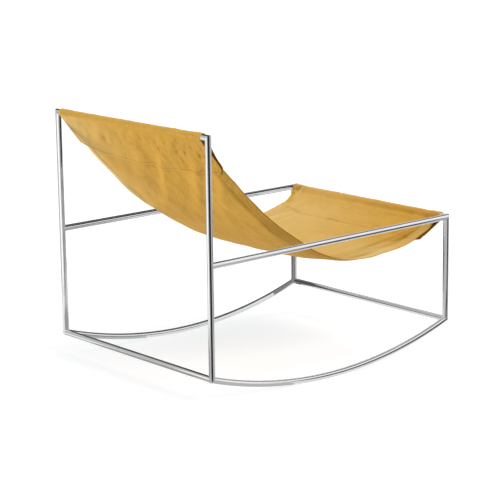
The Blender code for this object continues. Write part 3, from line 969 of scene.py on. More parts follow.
# %% Height of the folds
UNEVEN = 0.0010               # chance hills all over
CREASED = 0.0008
PULLED = 0.0030               # wrinkles at the front corners
LEFT_GATHER = 0.0045          # where the sleeve's ends crowd on the front bar
RIGHT_GATHER = 0.0026
BELLY = 0.006                 # how far the back bulges beside the flap
PINCH = 0.0022                # groove where the front sleeve closes


def fold_height(x, rear, front, edge):
    """Height of the panel's folds towards the sitter, from the distances to its bars and side edge."""
    aside = np.abs(x)
    belly = -BELLY * bell(aside, 0.20, np.where(aside > 0.20, 0.07, 0.16))
    belly = belly * between(rear, 0.03, 0.09, 0.18, 0.30)
    gathered = np.where(x < 0, LEFT_GATHER, RIGHT_GATHER) * hills(x, rear, 0.008, 0.012, 16)
    gathered = gathered * rise(edge, 0.050, 0.012) * rise(front, 0.070, 0.020)
    loose = back_folds(x, rear, edge) + belly + PULLED * corner_pulls(x, rear, front, edge)
    loose = loose + hem_shape(x, rear, edge) + edge_shape(x, rear, front, edge)
    loose = loose + UNEVEN * hills(x, rear, 0.018, 0.034, 13)
    loose = loose + CREASED * creases(x, rear, 0.030, 0.040, 14) + prints(x, rear, front) + gathered
    held = rise(np.minimum(rear, front), 0.002, 0.022)
    return held * loose - PINCH * bell(front, 0.018, 0.006)


across, along = np.linspace(-0.3, 0.3, 200)[None, :], np.linspace(0, 1.1, 300)[:, None]
sample = fold_height(across, along, along[::-1], 0.3 - np.abs(across))
print(f"folds from {1000 * sample.min():.1f} to {1000 * sample.max():.1f} mm")

# %% [markdown]
# ## The canvas's grid
# The cloth is one grid of points: columns from side to side and rows along its whole path, from the
# rear flap's free edge, up over the rear bar, down the panel, over the front bar and back along the
# front flap. Columns crowd together at the hems so that the turned edge and its row of stitches
# have real shape, and rows crowd at the tapes and the flaps' ends. Under the panel lie the loops, the
# hooks and the flap, each a small gap below the last.

# %% Columns and rows
HEM_SEAM = 0.0295             # from the edge to the row of stitches
TAPE_INSET = 0.040            # from the side edge to the ends of the closing tapes
TAPE_WIDTH = 0.025
TAPE_FOOT = 0.128             # from the bar to a tape's lower edge
TAPE_TOP = TAPE_FOOT - TAPE_WIDTH
TAPE_SEAM = 0.002             # from a tape's edge to its stitches
TAPE_MARGIN = 0.002           # least room between a tape and the flap's turned end
LEAST_TAPE = 0.012
END_SEAM = 0.0075             # from the flap's free edge to its stitches
END_HEM = 0.010
END_RUN = 0.166               # the panel's rows are close together this far from each bar
INNER_COLUMNS = 145
FREE_ROWS = 100
LOOSE_ROWS = 24
SLEEVE_ROWS = 13

hem_run = [0, 0.0015, 0.004, 0.008, 0.013, 0.018, 0.023, 0.0265, 0.0286, HEM_SEAM, 0.0304, 0.0317,
           0.0323, 0.0340, 0.0370]
inner_run = np.linspace(TAPE_INSET - HALF_WIDTH, HALF_WIDTH - TAPE_INSET, INNER_COLUMNS)
left_run = np.array(hem_run) - HALF_WIDTH
ACROSS = np.concatenate([left_run, inner_run, -left_run[::-1]])
EDGE = HALF_WIDTH - np.abs(ACROSS)
LEFT = ACROSS < 0
SEAM_COLUMNS = [int(np.argmin(np.abs(ACROSS - side * (HALF_WIDTH - HEM_SEAM)))) for side in (-1, 1)]

TAPE_SHARES = np.array([0, TAPE_SEAM / TAPE_WIDTH, 0.3, 0.5, 0.7, 1 - TAPE_SEAM / TAPE_WIDTH, 1])
HEM_RUN = np.array([END_HEM, END_HEM - 0.0006, END_SEAM, 0.004, 0.0015, 0])
END_SEAM_ROW = 3              # the row of those stitches, counted from the free edge


def tape_foot(x, from_front):
    """From a bar to the lower edge of its tapes, which keep clear of the flap's turned end."""
    return min(TAPE_FOOT, flap_length(x, from_front) - END_HEM - TAPE_MARGIN)


def sewn_rows(x, from_front):
    """Distances from the bar of a flap's pressed rows, from the tape's upper edge to the free edge."""
    end = flap_length(x, from_front)
    foot = tape_foot(x, from_front)
    top = min(TAPE_TOP, foot - LEAST_TAPE)
    gap = np.linspace(foot, end - END_HEM, 5)[1:-1]
    return np.concatenate([top + (foot - top) * TAPE_SHARES, gap, end - HEM_RUN])


SEWN_ROWS = len(sewn_rows(0, True))
end_rows = np.concatenate([np.linspace(0, TAPE_TOP, 22)[:-1], TAPE_TOP + TAPE_WIDTH * TAPE_SHARES,
                           np.linspace(TAPE_FOOT, END_RUN, 10)[1:]])
print(len(ACROSS), "columns")

# %% Layers under the panel
TAPE_THICKNESS = 0.0012
LAYER_GAP = 0.0004            # between two layers that lie on each other
BAR_SLACK = 0.0004            # between a bar and the sleeve that hangs on it
HEM_FADE = 0.010              # over which the hem's double thickness shows in the sleeves

LOOP_LAYER = CANVAS / 2 + LAYER_GAP + TAPE_THICKNESS / 2
HOOK_LAYER = LOOP_LAYER + TAPE_THICKNESS + LAYER_GAP
FLAP_LAYER = HOOK_LAYER + TAPE_THICKNESS / 2 + LAYER_GAP + CANVAS / 2
HEM_UNDER = np.where(EDGE < HEM_WIDTH, 1.5 * CANVAS, 0.5 * CANVAS)
SLEEVE = TUBE_RADIUS + BAR_SLACK + CANVAS * (0.5 + rise(EDGE, HEM_WIDTH + HEM_FADE, HEM_WIDTH))
LINES = [hang_line(x / HALF_WIDTH, sleeve) for x, sleeve in zip(ACROSS, SLEEVE)]
print(f"flap lies {1000 * FLAP_LAYER:.1f} mm under the panel")

# %% [markdown]
# ## Panel and flaps
# A column of the panel is its hang line pushed out by the folds. A flap lies on the panel's underside,
# but draws in at its sides, so it is laid on a *bed*: the panel near the bar, sampled in fine steps and
# read between the columns. From the tape on, the flap runs straight to its bar. There its seams have
# drawn it into short puckers. Its corners stand off a little, as pressed canvas does.

# %% Panel and the beds of the flaps
SLOPE_STEP = 0.004            # each way along the line, to find which way it runs
BED_STEP = 0.003
BED_STEPS = 60


def panel_places(column, distances):
    """Points on the folded panel at distances from the rear bar, and the way out of its underside."""
    line, _, _ = LINES[column]
    run = run_length(line)

    def along_line(places):
        return np.stack([np.interp(places, run, line[:, k]) for k in (0, 1)], axis=-1)

    ahead = along_line(distances + SLOPE_STEP) - along_line(distances - SLOPE_STEP)
    ahead /= np.linalg.norm(ahead, axis=1)[:, None]
    out = np.stack([ahead[:, 1], -ahead[:, 0]], axis=-1)
    x = ACROSS[column] / HALF_WIDTH * half_width(distances / run[-1])
    height = fold_height(x, distances, run[-1] - distances, EDGE[column])
    return along_line(distances) - out * height[:, None], out


def flap_bed(from_front):
    """The panel near a bar: every column's places and ways out of its underside, step by step."""
    steps = BED_STEP * np.arange(BED_STEPS)
    beds = []
    for column, (line, _, _) in enumerate(LINES):
        distances = run_length(line)[-1] - steps if from_front else steps
        beds.append(np.concatenate(panel_places(column, distances), axis=1))
    return np.stack(beds)


def on_bed(bed, x, distances):
    """Place and way out of the panel under a flap's points, between the bed's columns and steps."""
    column = np.interp(x, ACROSS, np.arange(len(ACROSS)))
    left = np.minimum(column.astype(int), len(ACROSS) - 2)
    step = distances / BED_STEP
    above = step.astype(int)
    found = 0
    for i, share in ((0, left + 1 - column), (1, column - left)):
        for j, part in ((0, above + 1 - step), (1, step - above)):
            found = found + bed[left + i, above + j] * (share * part)[:, None]
    return found[:, :2], found[:, 2:]


BEDS = [flap_bed(False), flap_bed(True)]
print("beds of", BEDS[0].shape[:2], "places")

# %% Flaps
REAR_GAPE = 0.0015            # how far each flap's right corner stands off the panel
FRONT_GAPE = 0.007
GAPE_CURL = 12                # the higher, the closer to the corner it stands off
LEFT_GAPE = 0.009             # the rear flap's left corner stands off more, and more gently
LEFT_GAPE_CURL = 4
LEFT_TAPER = 0.06             # the rear flap's left side draws in by this share of its length
TAPER = 0.02                  # and the flaps' other sides by this one
CURL = 0.0030                 # of the free edge
SOFT = 0.0018                 # height of the soft folds between the tape and the bar
PUCKER = 0.0046               # depth of the puckers there
PUCKER_ROWS = ((0.042, 0.5), (0.072, 1.0))        # distance from the bar and share of the depth


def taper(x, from_front):
    return np.where((x < 0) & (not from_front), LEFT_TAPER, TAPER)


def stand_off(x, run, from_front):
    """How far a flap's corners stand off the layers under it, at a distance from its bar."""
    right = (FRONT_GAPE if from_front else REAR_GAPE) * np.maximum(x / HALF_WIDTH, 0) ** GAPE_CURL
    left = 0 if from_front else LEFT_GAPE * np.maximum(-x / HALF_WIDTH, 0) ** LEFT_GAPE_CURL
    return right + left * run / flap_length(x, from_front)


def puckers(x, down, seed):
    """Short creases in two rows across a flap, where its seams draw the cloth in."""
    pick = np.random.default_rng(seed)
    total = 0
    for row, depth in PUCKER_ROWS:
        for place in np.arange(-0.30, 0.31, 0.04) + pick.uniform(-0.014, 0.014, 16):
            across = (x + 0.30 * (down - row) - place) / pick.uniform(0.0032, 0.0048)
            along = (down - row) / pick.uniform(0.007, 0.013)
            total = total - depth * pick.uniform(0.45, 0.85) * np.exp(-across ** 2 - along ** 2)
    return total * rise(x, -0.26, -0.14) * (1 + 0.5 * rise(x, 0.05, 0.20))


def flap_section(column, from_front):
    """A flap's points from its free edge to its bar, the angle there and their distances from the bar."""
    x = ACROSS[column]
    seed = 40 if from_front else 30
    sewn = sewn_rows(x, from_front)[::-1]
    spots, out = on_bed(BEDS[from_front], x * (1 - taper(x, from_front) * sewn / HALF_WIDTH), sewn)
    share = rise(sewn, sewn[-1] + 0.6 * (sewn[0] - sewn[-1]), sewn[0]) * rise(x, -0.16, -0.06)
    curl = CURL * share * np.clip(hills(x, sewn * 0, 0.030, 1.0, seed) + 0.1, 0, 2)
    pressed = spots + out * (FLAP_LAYER + stand_off(x, sewn, from_front) + curl)[:, None]
    bar, side = (FRONT_BAR, 1) if from_front else (REAR_BAR, -1)
    reach = pressed[-1] - bar
    angle = math.atan2(reach[1], reach[0]) + side * math.acos(SLEEVE[column] / np.linalg.norm(reach))
    top = bar + SLEEVE[column] * turned(angle)
    t = np.linspace(0, 1, LOOSE_ROWS + 1)[1:]
    down = sewn[-1] * (1 - t)
    soft = SOFT * np.clip(hills(x + 0.55 * down, down, 0.016, 0.030, seed + 1) + 0.6, 0, 2)
    soft *= rise(EDGE[column], 0, 0.05)
    lift = (soft + PUCKER * puckers(x, down, seed + 2)) * between(t, 0, 0.12, 0.85, 1)
    loose = pressed[-1] + (top - pressed[-1]) * t[:, None] + out[-1] * lift[:, None]
    return np.concatenate([pressed, loose]), angle, np.concatenate([sewn, down])


print("flaps stand off", 1000 * REAR_GAPE, "and", 1000 * FRONT_GAPE, "mm at the right")

# %% Canvas grid
SLEEVE_SLACK = 0.0007         # how loosely the sleeves lie on their bars,
LEFT_SLACK = 0.0003           # and how much more at their left ends
FRONT_FLARE = 0.010           # the sleeve's left end at the front has crept out along its bar
FLARE_CURL = 6


def sleeve_section(column, bar, start, end, seed):
    """Points over a bar from one angle to another, clockwise, without the two ends."""
    shares = np.linspace(0, 1, SLEEVE_ROWS + 2)[1:-1]
    angles = start - (start - end) % (2 * math.pi) * shares
    slack = SLEEVE_SLACK + LEFT_SLACK * rise(ACROSS[column], -0.27, -0.30)
    slack = slack * np.clip(hills(ACROSS[column], angles * 0.012, 0.010, 0.012, seed) + 0.4, 0, 2)
    return bar + (SLEEVE[column] + slack * np.sin(math.pi * shares))[:, None] * turned(angles)


def canvas_column(column):
    """One lengthwise line of the canvas, with each point's distances along the panel from its bars."""
    line, rear_angle, front_angle = LINES[column]
    length = run_length(line)[-1]
    free = np.linspace(END_RUN, length - END_RUN, FREE_ROWS + 2)[1:-1]
    distances = np.concatenate([end_rows, free, length - end_rows[::-1]])
    panel, _ = panel_places(column, distances)
    rear, rear_touch, rear_run = flap_section(column, False)
    front, front_touch, front_run = flap_section(column, True)
    over_rear = sleeve_section(column, REAR_BAR, rear_touch, rear_angle, 51)
    over_front = sleeve_section(column, FRONT_BAR, front_angle, front_touch, 52)
    points = np.concatenate([rear, over_rear, panel, over_front, front[::-1]])
    v = ACROSS[column] / HALF_WIDTH
    sleeve = np.zeros(SLEEVE_ROWS)
    x = np.concatenate([v * (HALF_WIDTH - taper(v, False) * rear_run), v * HALF_WIDTH + sleeve,
                        v * half_width(distances / length), v * HALF_WIDTH + sleeve,
                        v * (HALF_WIDTH - taper(v, True) * front_run[::-1])])
    from_rear = np.concatenate([-rear_run, sleeve, distances, sleeve - 1, 0 * front_run - 1])
    from_front = np.concatenate([0 * rear_run - 1, sleeve - 1, length - distances, sleeve,
                                 -front_run[::-1]])
    x -= FRONT_FLARE * rise(np.abs(from_front), 0.070, 0.015) * max(-v, 0) ** FLARE_CURL
    return np.column_stack([x, points, from_rear, from_front])


drawn = np.stack([canvas_column(column) for column in range(len(ACROSS))], axis=1)
GRID = drawn[..., :3]
FROM_REAR = drawn[..., 3]     # along the panel, and below 0 off it
FROM_FRONT = drawn[..., 4]
FLAP_ROWS = SEWN_ROWS + LOOSE_ROWS
PANEL_START = FLAP_ROWS + SLEEVE_ROWS
rows, columns = GRID.shape[:2]

# %% [markdown]
# ## Cloth with two faces
# Real cloth has a thickness, and a hem is twice as thick as the rest. So the grid becomes a closed
# shell: every row is a loop that runs over the upper face, round the side edge, back along the
# underside and round the other edge. The loops are joined, and at the free ends they shrink to a
# line, which rounds those edges off. The UV map keeps the flat cloth's own metres.

# %% Shell round a grid
RIM = np.radians([45, 90, 135])
CLOSING = np.radians([90, 60, 30])


def unit(vectors):
    return vectors / np.linalg.norm(vectors, axis=-1, keepdims=True)


def grid_normals(grid):
    """Direction out of the upper face at each point of a grid."""
    return unit(np.cross(np.gradient(grid, axis=1), np.gradient(grid, axis=0)))


def shell_loop(row, normal, upper, under, thin=1.0, shift=0.0):
    """Closed loop of points round one row of the cloth; thin below 1 closes it towards a line."""
    centre = row + normal * ((upper - under) / 2)[:, None] + shift
    half = (upper + under) / 2 * thin
    face_up = centre + normal * half[:, None]
    face_down = centre - normal * half[:, None]

    def rim(k, inside):
        outward = unit(row[k] - row[inside])
        return centre[k] + half[k] * (np.cos(RIM)[:, None] * normal[k] + np.sin(RIM)[:, None] * outward)
    return np.concatenate([face_up, rim(-1, -2), face_down[::-1], rim(0, 1)[::-1]])


def shell_rows(grid, upper, under):
    """Loops round every row of a grid, with those that close its two ends."""
    normals = grid_normals(grid)
    caps = []
    for end, ahead in ((0, grid[0] - grid[1]), (-1, grid[-1] - grid[-2])):
        half = (upper[end] + under[end]) / 2
        caps.append([shell_loop(grid[end], normals[end], upper[end], under[end], math.cos(angle),
                                unit(ahead) * (half * math.sin(angle))[:, None]) for angle in CLOSING])
    body = [shell_loop(*parts) for parts in zip(grid, normals, upper, under)]
    return np.stack(caps[0] + body + caps[1][::-1])


def cloth_mesh(name, grid, upper, under, **marks):
    """Closed cloth with its UV map in metres; upper and under are the faces' distances at each point."""
    points = shell_rows(grid, upper, under)
    count, size = points.shape[:2]
    index = np.arange(count * size).reshape(count, size)
    here, there = index[:-1], index[1:]
    faces = np.stack([here, np.roll(here, -1, 1), np.roll(there, -1, 1), there], axis=-1).reshape(-1, 4)
    mesh = bpy.data.meshes.new(name)
    mesh.from_pydata(points.reshape(-1, 3).tolist(), [], faces.tolist())
    x = grid[0, :, 0]
    x = np.concatenate([x, [x[-1] + CANVAS / 2] * len(RIM), x[::-1], [x[0] - CANVAS / 2] * len(RIM)])
    along = run_length(grid[:, grid.shape[1] // 2])
    along = np.concatenate([[along[0]] * len(CLOSING), along, [along[-1]] * len(CLOSING)])
    spots = np.stack(np.broadcast_arrays(x[None, :], along[:, None]), axis=-1).reshape(-1, 2)
    corners = np.empty(len(mesh.loops), dtype=np.int32)
    mesh.loops.foreach_get("vertex_index", corners)
    mesh.uv_layers.new(name="UVMap").data.foreach_set("uv", spots[corners].astype(np.float32).ravel())
    for mark, sides in marks.items():
        above, below = [np.pad(side, ((len(CLOSING), len(CLOSING)), (0, 0)), "edge") for side in sides]
        right, left = np.repeat(below[:, -1:], len(RIM), 1), np.repeat(below[:, :1], len(RIM), 1)
        whole = np.concatenate([above, right, below[:, ::-1], left], 1).astype(np.float32)
        mesh.attributes.new(mark, "FLOAT", "POINT").data.foreach_set("value", whole.ravel())
    shape = bmesh.new()
    shape.from_mesh(mesh)
    bmesh.ops.remove_doubles(shape, verts=shape.verts, dist=1e-6)
    bmesh.ops.recalc_face_normals(shape, faces=shape.faces)
    shape.to_mesh(mesh)
    shape.free()
    mesh.transform(STAND)
    return mesh


print("shell ready")

# %% [markdown]
# ## The sling and its marks
# The hems are turned to the underside, so only that face steps up. Stitches pull the cloth in, so
# both faces dip along each seam. The canvas is rubbed palest on the hems' folds, over the bars and
# along the flaps' free edges. Painted light makes other places paler: painted glare on the seat, most
# on the left, painted light on the flaps and on the underside at the left of the back, on the left hem
# that rolls up to the light and on the crests of the wrinkles at the front corners. The seat's right
# hem is paler too. Each mark has a value for the upper face and one for the underside. The tubes in
# the photograph mirror greys and no ochre, so the finished sling is hidden from mirrored rays.

# %% Thickness
HEM_PUFF = 0.0009             # the turned edge isn't pressed flat
SEAM_DIP = 0.0004

upper = np.full((rows, columns), CANVAS / 2)
under = np.tile(HEM_UNDER, (rows, 1))
turned_rows = len(HEM_RUN) - 1
for end in (slice(0, turned_rows), slice(rows - turned_rows, rows)):
    under[end] = np.maximum(under[end], 1.5 * CANVAS)
under += HEM_PUFF * np.sin(np.pi * np.clip(EDGE / HEM_SEAM, 0, 1))
for face in (upper, under):
    face[:, SEAM_COLUMNS] -= SEAM_DIP
print(f"canvas {1000 * (upper + under).min():.1f} to {1000 * (upper + under).max():.1f} mm thick")

# %% Rubbed places and painted light
# painted light on the left hem
PALE_LEFT_HEM = 0.5
RUBBED_SLEEVE = 0.5
RUBBED_END = 0.4
# painted glare on the seat, as light seen at a glancing view
SEAT_GLARE = 0.66
HOLLOW_GLARE = 0.5              # painted glare at the lowest part of the seat
RIGHT_HEM_PALE = 0.45          # paler band along the seat's right hem
BACK_LIGHT = 0.22               # painted light on the underside, at the left of the back
LEFT_HEM_LIGHT = 0.9            # and painted light on the hem there

# edges worn pale, and painted light on the left hem
hem_rub = np.maximum(rise(EDGE, 0.004, 0.0), PALE_LEFT_HEM * rise(EDGE, HEM_WIDTH, HEM_SEAM) * LEFT)
rub = np.tile(hem_rub, (rows, 1))
for sleeve in (slice(FLAP_ROWS, PANEL_START), slice(rows - PANEL_START, rows - FLAP_ROWS)):
    rub[sleeve] = np.maximum(rub[sleeve], RUBBED_SLEEVE)
rub[[0, 1, -2, -1]] = RUBBED_END

streaks = corner_pulls(GRID[..., 0], FROM_REAR, FROM_FRONT, EDGE) * (FROM_FRONT > 0)
corner = rise(EDGE, 0.060, 0.025) * LEFT * (FROM_FRONT >= 0) * rise(FROM_FRONT, 0.060, 0.020)
gathers = hills(GRID[..., 0], GRID[..., 2], 0.006, 0.009, 63) * corner
right_seat = ~LEFT * between(FROM_FRONT, 0.004, 0.02, 0.35, 0.50)

# painted glare on the seat, strongest at the left
seat = (0.6 + 0.4 * rise(FROM_FRONT, 0.02, 0.12)) * (FROM_FRONT >= 0) * rise(FROM_FRONT, 0.55, 0.35)
sun = np.maximum(SEAT_GLARE * seat * rise(ACROSS, 0.26, -0.22),
                 HOLLOW_GLARE * between(FROM_FRONT, 0.14, 0.27, 0.45, 0.60))
# painted light on the flaps' outer faces, stronger towards the left
sun[:FLAP_ROWS] = 0.40 * rise(ACROSS, 0.04, -0.30) + 0.35 * rise(ACROSS, -0.22, -0.29)
sun += RIGHT_HEM_PALE * right_seat * rise(EDGE, HEM_WIDTH, HEM_SEAM)
# painted highlight on the crests of the corner wrinkles and of the gathers at the left front
sun += 0.35 * np.clip(streaks, 0, 1) + 0.6 * np.clip(gathers, 0, 1)

# painted light on the underside of the back, stronger towards the left
under_sun = BACK_LIGHT * rise(ACROSS, 0.04, -0.30) * rise(FROM_REAR, 0.02, 0.06)
under_sun = under_sun * rise(FROM_FRONT, 0.30, 0.45)
# painted highlight along the left hem's roll, and painted light on the hem band
left_hem_light = bell(EDGE, 0.041, 0.0060) + LEFT_HEM_LIGHT * rise(EDGE, HEM_WIDTH, 0.024)
under_sun += left_hem_light * LEFT * rise(FROM_REAR, 0.13, 0.18)
print(f"bleached by up to {sun.max():.2f} above and {under_sun.max():.2f} below, of which 1 counts")

# %% [markdown]
# Grime gathers in every row of stitches. The rest of this mark is painted shade: on the rims of the
# near edges and along the near edge of the back, at the near hem's step, beside the lines that print
# through the seat, under the front bar, in the hollows of creases, wrinkles and puckers, and in the
# shadow line past each flap's free edge. The flaps' outer faces also get darker towards the right.
# Two layers that nearly touch hide the light between them, so the inner faces of the open flaps and
# the panel that they cover get the deepest painted shade.

# %% Grime and painted shade
SEAM_GRIME = 0.8
FRONT_SEAM_GRIME = 0.5        # along the front flap's free edge
# deepest painted shade, between two layers that nearly touch
INSIDE_SHADE = 3.2
RIM_SHADE = 1.2
MOST_GRIME_AND_SHADE = 1.6              # most grime and painted shade on the upper face

seams = np.tile(SEAM_GRIME * bell(EDGE, HEM_SEAM, 0.0020), (rows, 1))
seams[END_SEAM_ROW] += SEAM_GRIME
seams[-1 - END_SEAM_ROW] += FRONT_SEAM_GRIME
back_edge = ~LEFT * rise(FROM_REAR, 0.05, 0.10) * rise(FROM_FRONT, 0.40, 0.50)
# painted shade along the rim of the back's near edge
rim = RIM_SHADE * rise(EDGE, 0.0040, 0.0010) * back_edge
# painted shade along the back's near edge, which faces away from the light
shaded_near_edge = 0.18 * rise(EDGE, 0.060, 0.020) * back_edge
# painted shade along the step of the near hem
hem_step_shade = 0.25 * bell(EDGE, HEM_WIDTH, 0.0030) * ~LEFT * rise(FROM_REAR, 0.13, 0.17)

uneven_print = rise(hills(ACROSS, 0 * ACROSS, 0.03, 1.0, 61), -0.6, 0.4)
# painted shade in the crease where the tapes print through the seat
print_line_shade = 0.85 * bell(FROM_FRONT, seat_print(ACROSS), 0.0035) * rise(ACROSS, 0.06, -0.04) * uneven_print
# painted shade on the seat just behind the front bar
shade_under_bar = 0.5 * bell(FROM_FRONT, 0.010, 0.006) * rise(ACROSS, -0.20, 0.10)
# painted shade beside the seat's right hem, on the shaded side of its fold
shade_beside_hem = 0.40 * between(EDGE, HEM_SEAM, 0.034, 0.040, 0.075) * rise(FROM_FRONT, 0.20, 0.12)
# painted shade along the rim of the seat's right edge
shaded_seat_rim = 0.5 * rise(EDGE, 0.0040, 0.0010)

# upper face: grime in seams, and painted shade
grime = 0.25 * seams + rim + (print_line_shade + shade_under_bar) * (FROM_FRONT > 0) + (shade_beside_hem + shaded_seat_rim) * right_seat
# painted shade in the hollows of the same wrinkles and gathers
grime += 0.6 * np.clip(-streaks - 0.1, 0, 1) + 0.8 * np.clip(-gathers, 0, 1)
grime[END_SEAM_ROW] += SEAM_GRIME
# flaps' outer faces: painted shade in the puckers' hollows, and darker towards the right
grime[:FLAP_ROWS] += 0.16 * rise(ACROSS, 0.08, 0.25) - 0.25 * puckers(ACROSS, -FROM_REAR[:FLAP_ROWS], 32)

shadow_strength = 1.2 + bell(ACROSS, -0.01, 0.012) + bell(ACROSS, 0.075, 0.012)
shadow_strength = shadow_strength * rise(ACROSS, 0.315, 0.290)
shadow = 0
for run, from_front, strength in ((FROM_REAR, False, shadow_strength), (FROM_FRONT, True, 1)):
    past_flap = bell(run - flap_length(ACROSS, from_front), 0.003, 0.0035)
    shadow = shadow + strength * past_flap * (run >= 0)

# painted shade on the panel under the rear flap, near its right edge
covered = rise(FROM_REAR, 0.03, 0.06) * (FROM_REAR < flap_length(ACROSS, False) - 0.004)
inside = covered * rise(EDGE, 0.040, 0.020)
inside[:FLAP_ROWS] = rise(EDGE, 0.08, 0.03)
inside[-FLAP_ROWS:] = rise(EDGE, 0.08, 0.03)
# underside: grime in seams, and painted shade
under_grime = seams * np.where(LEFT, 0.1, 0.25) + shadow + shaded_near_edge + rim + hem_step_shade
# the deepest painted shade, between layers, on the right
under_grime += INSIDE_SHADE * inside * ~LEFT
print(f"grime up to {grime.max():.2f} above and {under_grime.max():.2f} below")

# %% Sling
sling_mesh = cloth_mesh("canvas_sling", GRID, upper, under, rub=(rub, rub),
                        sun=(np.clip(sun, 0, 1), np.minimum(under_sun, 1)),
                        grime=(np.minimum(grime, MOST_GRIME_AND_SHADE), under_grime))
sling = dress("hung_canvas", sling_mesh, canvas, "canvas", "canvas_sling")
sling.visible_glossy = False
print("sling:", len(sling_mesh.polygons), "faces")

# %% [markdown]
# ## Closing tapes
# Under each bar, the flap carries a strip of hooks and the panel a strip of loops, and pressing them
# together closes the sleeve. Each is a woven band with a pile too fine to model, so the pile is in the
# material: a coarser weave, a rough surface and plenty of sheen.

# %% Tape material
tape_finish, tree, shader = new_material("ochre tape", Sheen_Weight=0.35, Sheen_Roughness=0.6,
                                         Sheen_Tint=(1.0, 0.85, 0.55, 1), Specular_IOR_Level=0.15)
uv = add(tree, "ShaderNodeTexCoord").outputs["UV"]
band = effect(tree, weave, coordinates=uv, thread_pitch=0.0012)
pile = mottled(tree, uv, 0.0016)
feed(tree, shader, "Base Color", blended(tree, pile, (0.36, 0.21, 0.045, 1), (0.50, 0.30, 0.075, 1)))
feed(tree, shader, "Roughness", mottled(tree, uv, 0.02, 0.85, 1.0))
feed(tree, shader, "Normal", bumped(tree, calc(tree, "ADD", band["Height"], pile), 0.7, 0.0004))
print("material:", tape_finish.name)

# %% Four tapes
TAPE_COLUMNS = range(len(hem_run), len(hem_run) + len(inner_run))
TAPE_ROWS = 9


def tape_grid(from_front, layer):
    """Grid of points in one layer under the panel, beside the flap's free edge."""
    lines = []
    for column in TAPE_COLUMNS:
        length = run_length(LINES[column][0])[-1]
        run = np.linspace(TAPE_TOP, tape_foot(ACROSS[column], from_front), TAPE_ROWS)
        run = run[::-1] if from_front else run
        distances = length - run if from_front else run
        spots, out = panel_places(column, distances)
        x = ACROSS[column] / HALF_WIDTH * half_width(distances / length)
        off = layer + (stand_off(ACROSS[column], run, from_front) if layer == HOOK_LAYER else 0 * run)
        lines.append(np.column_stack([x, spots + out * off[:, None]]))
    return np.stack(lines, axis=1)


for end, from_front in (("rear", False), ("front", True)):
    for kind, layer in (("loop", LOOP_LAYER), ("hook", HOOK_LAYER)):
        grid = tape_grid(from_front, layer)
        half = np.full(grid.shape[:2], TAPE_THICKNESS / 2)
        node = f"{end}_{kind}_tape"
        dress(f"sewn_{node}", cloth_mesh(node, grid, half, half), tape_finish, "tape", node)

# %% [markdown]
# ## Stitches
# Every seam is a row of short stitches of thread, each a little crooked. A row repeats one small shape
# along a line, so it is made with Geometry Nodes: the seam's line is cut into stitch lengths, a
# slim bead of thread is placed on each cut and turned along the line with a small random tilt, and
# all of it is made real so that it can be exported. The hems' stitches show on both faces.

# %% Thread material
thread, tree, shader = new_material("ochre thread", Sheen_Weight=0.1, Sheen_Roughness=0.4)
twist = mottled(tree, add(tree, "ShaderNodeTexCoord").outputs["Object"], 0.0008)
feed(tree, shader, "Base Color", blended(tree, twist, (0.62, 0.37, 0.085, 1), (0.76, 0.50, 0.16, 1)))
feed(tree, shader, "Roughness", calc(tree, "MULTIPLY_ADD", twist, 0.2, 0.6))
print("material:", thread.name)

# %% Stitch tree
STITCH_SLIMNESS = 3.4
MOST_TILT = 0.12              # radians

stitch_tree, given = geometry_tree("stitches", Length="Float", Radius="Float", Seed="Int",
                                   Finish="Material")
seam = add(stitch_tree, "GeometryNodeMeshToCurve", {0: given["Geometry"]}).outputs[0]
cut = add(stitch_tree, "GeometryNodeResampleCurve", {"Curve": seam, "Length": given["Length"]},
          mode="LENGTH").outputs[0]
tangent = add(stitch_tree, "GeometryNodeInputTangent").outputs[0]
along = add(stitch_tree, "FunctionNodeAlignRotationToVector", {"Vector": tangent}, axis="Z").outputs[0]
crooked = add(stitch_tree, "FunctionNodeRandomValue",
              {2: -MOST_TILT, 3: MOST_TILT, "Seed": given["Seed"]}, data_type="FLOAT").outputs[1]
tilts = add(stitch_tree, "ShaderNodeCombineXYZ", {0: crooked, 1: crooked}).outputs[0]
tilted = add(stitch_tree, "FunctionNodeRotateRotation", {0: along, 1: tilts},
             rotation_space="LOCAL").outputs[0]
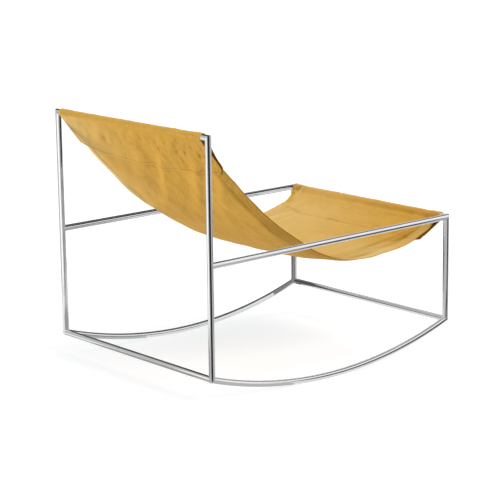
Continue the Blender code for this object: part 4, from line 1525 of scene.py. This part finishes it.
bead = add(stitch_tree, "GeometryNodeMeshUVSphere", {"Segments": 6, "Rings": 4,
                                                     "Radius": given["Radius"]}).outputs[0]
slim = add(stitch_tree, "GeometryNodeTransform",
           {"Geometry": bead, "Scale": (1.0, 1.0, STITCH_SLIMNESS)}).outputs[0]
placed = add(stitch_tree, "GeometryNodeInstanceOnPoints",
             {"Points": cut, "Instance": slim, "Rotation": tilted}).outputs[0]
close_tree(stitch_tree, placed, given["Finish"])
print("tree:", stitch_tree.name)

# %% Seams of the canvas
STITCH_LENGTH = 0.0036
THREAD_RADIUS = 0.00042
THREAD_LIFT = 0.0001          # of a stitch's middle above the cloth
NORMALS = grid_normals(GRID)


def seam_line(rows, columns, face):
    """Line of points on one face of the canvas, +1 for the upper face and -1 for the underside."""
    offset = (upper if face > 0 else under)[rows, columns] + THREAD_LIFT
    return (GRID[rows, columns] + face * NORMALS[rows, columns] * offset[..., None]).tolist()


def sew(name, lines, seed):
    """Piece of stitches along lines of the canvas."""
    mesh = grow(line_object(f"{name}_lines", lines, False), stitch_tree, Length=STITCH_LENGTH,
                Radius=THREAD_RADIUS, Seed=seed, Finish=thread)
    print(f"{name}: {len(mesh.polygons)} faces")
    return dress(name, mesh, None, "canvas")


def from_both_ends(rows_from_start):
    return rows_from_start + [rows - 1 - row for row in rows_from_start]


every_row = slice(2, rows - 2)
hem_stitches = sew("hem_stitches", [seam_line(every_row, column, face) for column in SEAM_COLUMNS
                                    for face in (1, -1)], 5)

flap_rows = from_both_ends([END_SEAM_ROW, SEWN_ROWS - 6, SEWN_ROWS - 2])
across_flap = slice(SEAM_COLUMNS[0] + 4, SEAM_COLUMNS[1] - 3)
flap_stitches = sew("flap_stitches", [seam_line(row, across_flap, 1) for row in flap_rows], 6)

panel_rows = from_both_ends([PANEL_START + int(np.argmin(np.abs(end_rows - distance))) for distance in
                             (TAPE_TOP + TAPE_SEAM, TAPE_FOOT - TAPE_SEAM)])
tape_span = slice(TAPE_COLUMNS[0], TAPE_COLUMNS[-1] + 1)
tape_stitches = sew("tape_stitches", [seam_line(row, tape_span, 1) for row in panel_rows], 7)
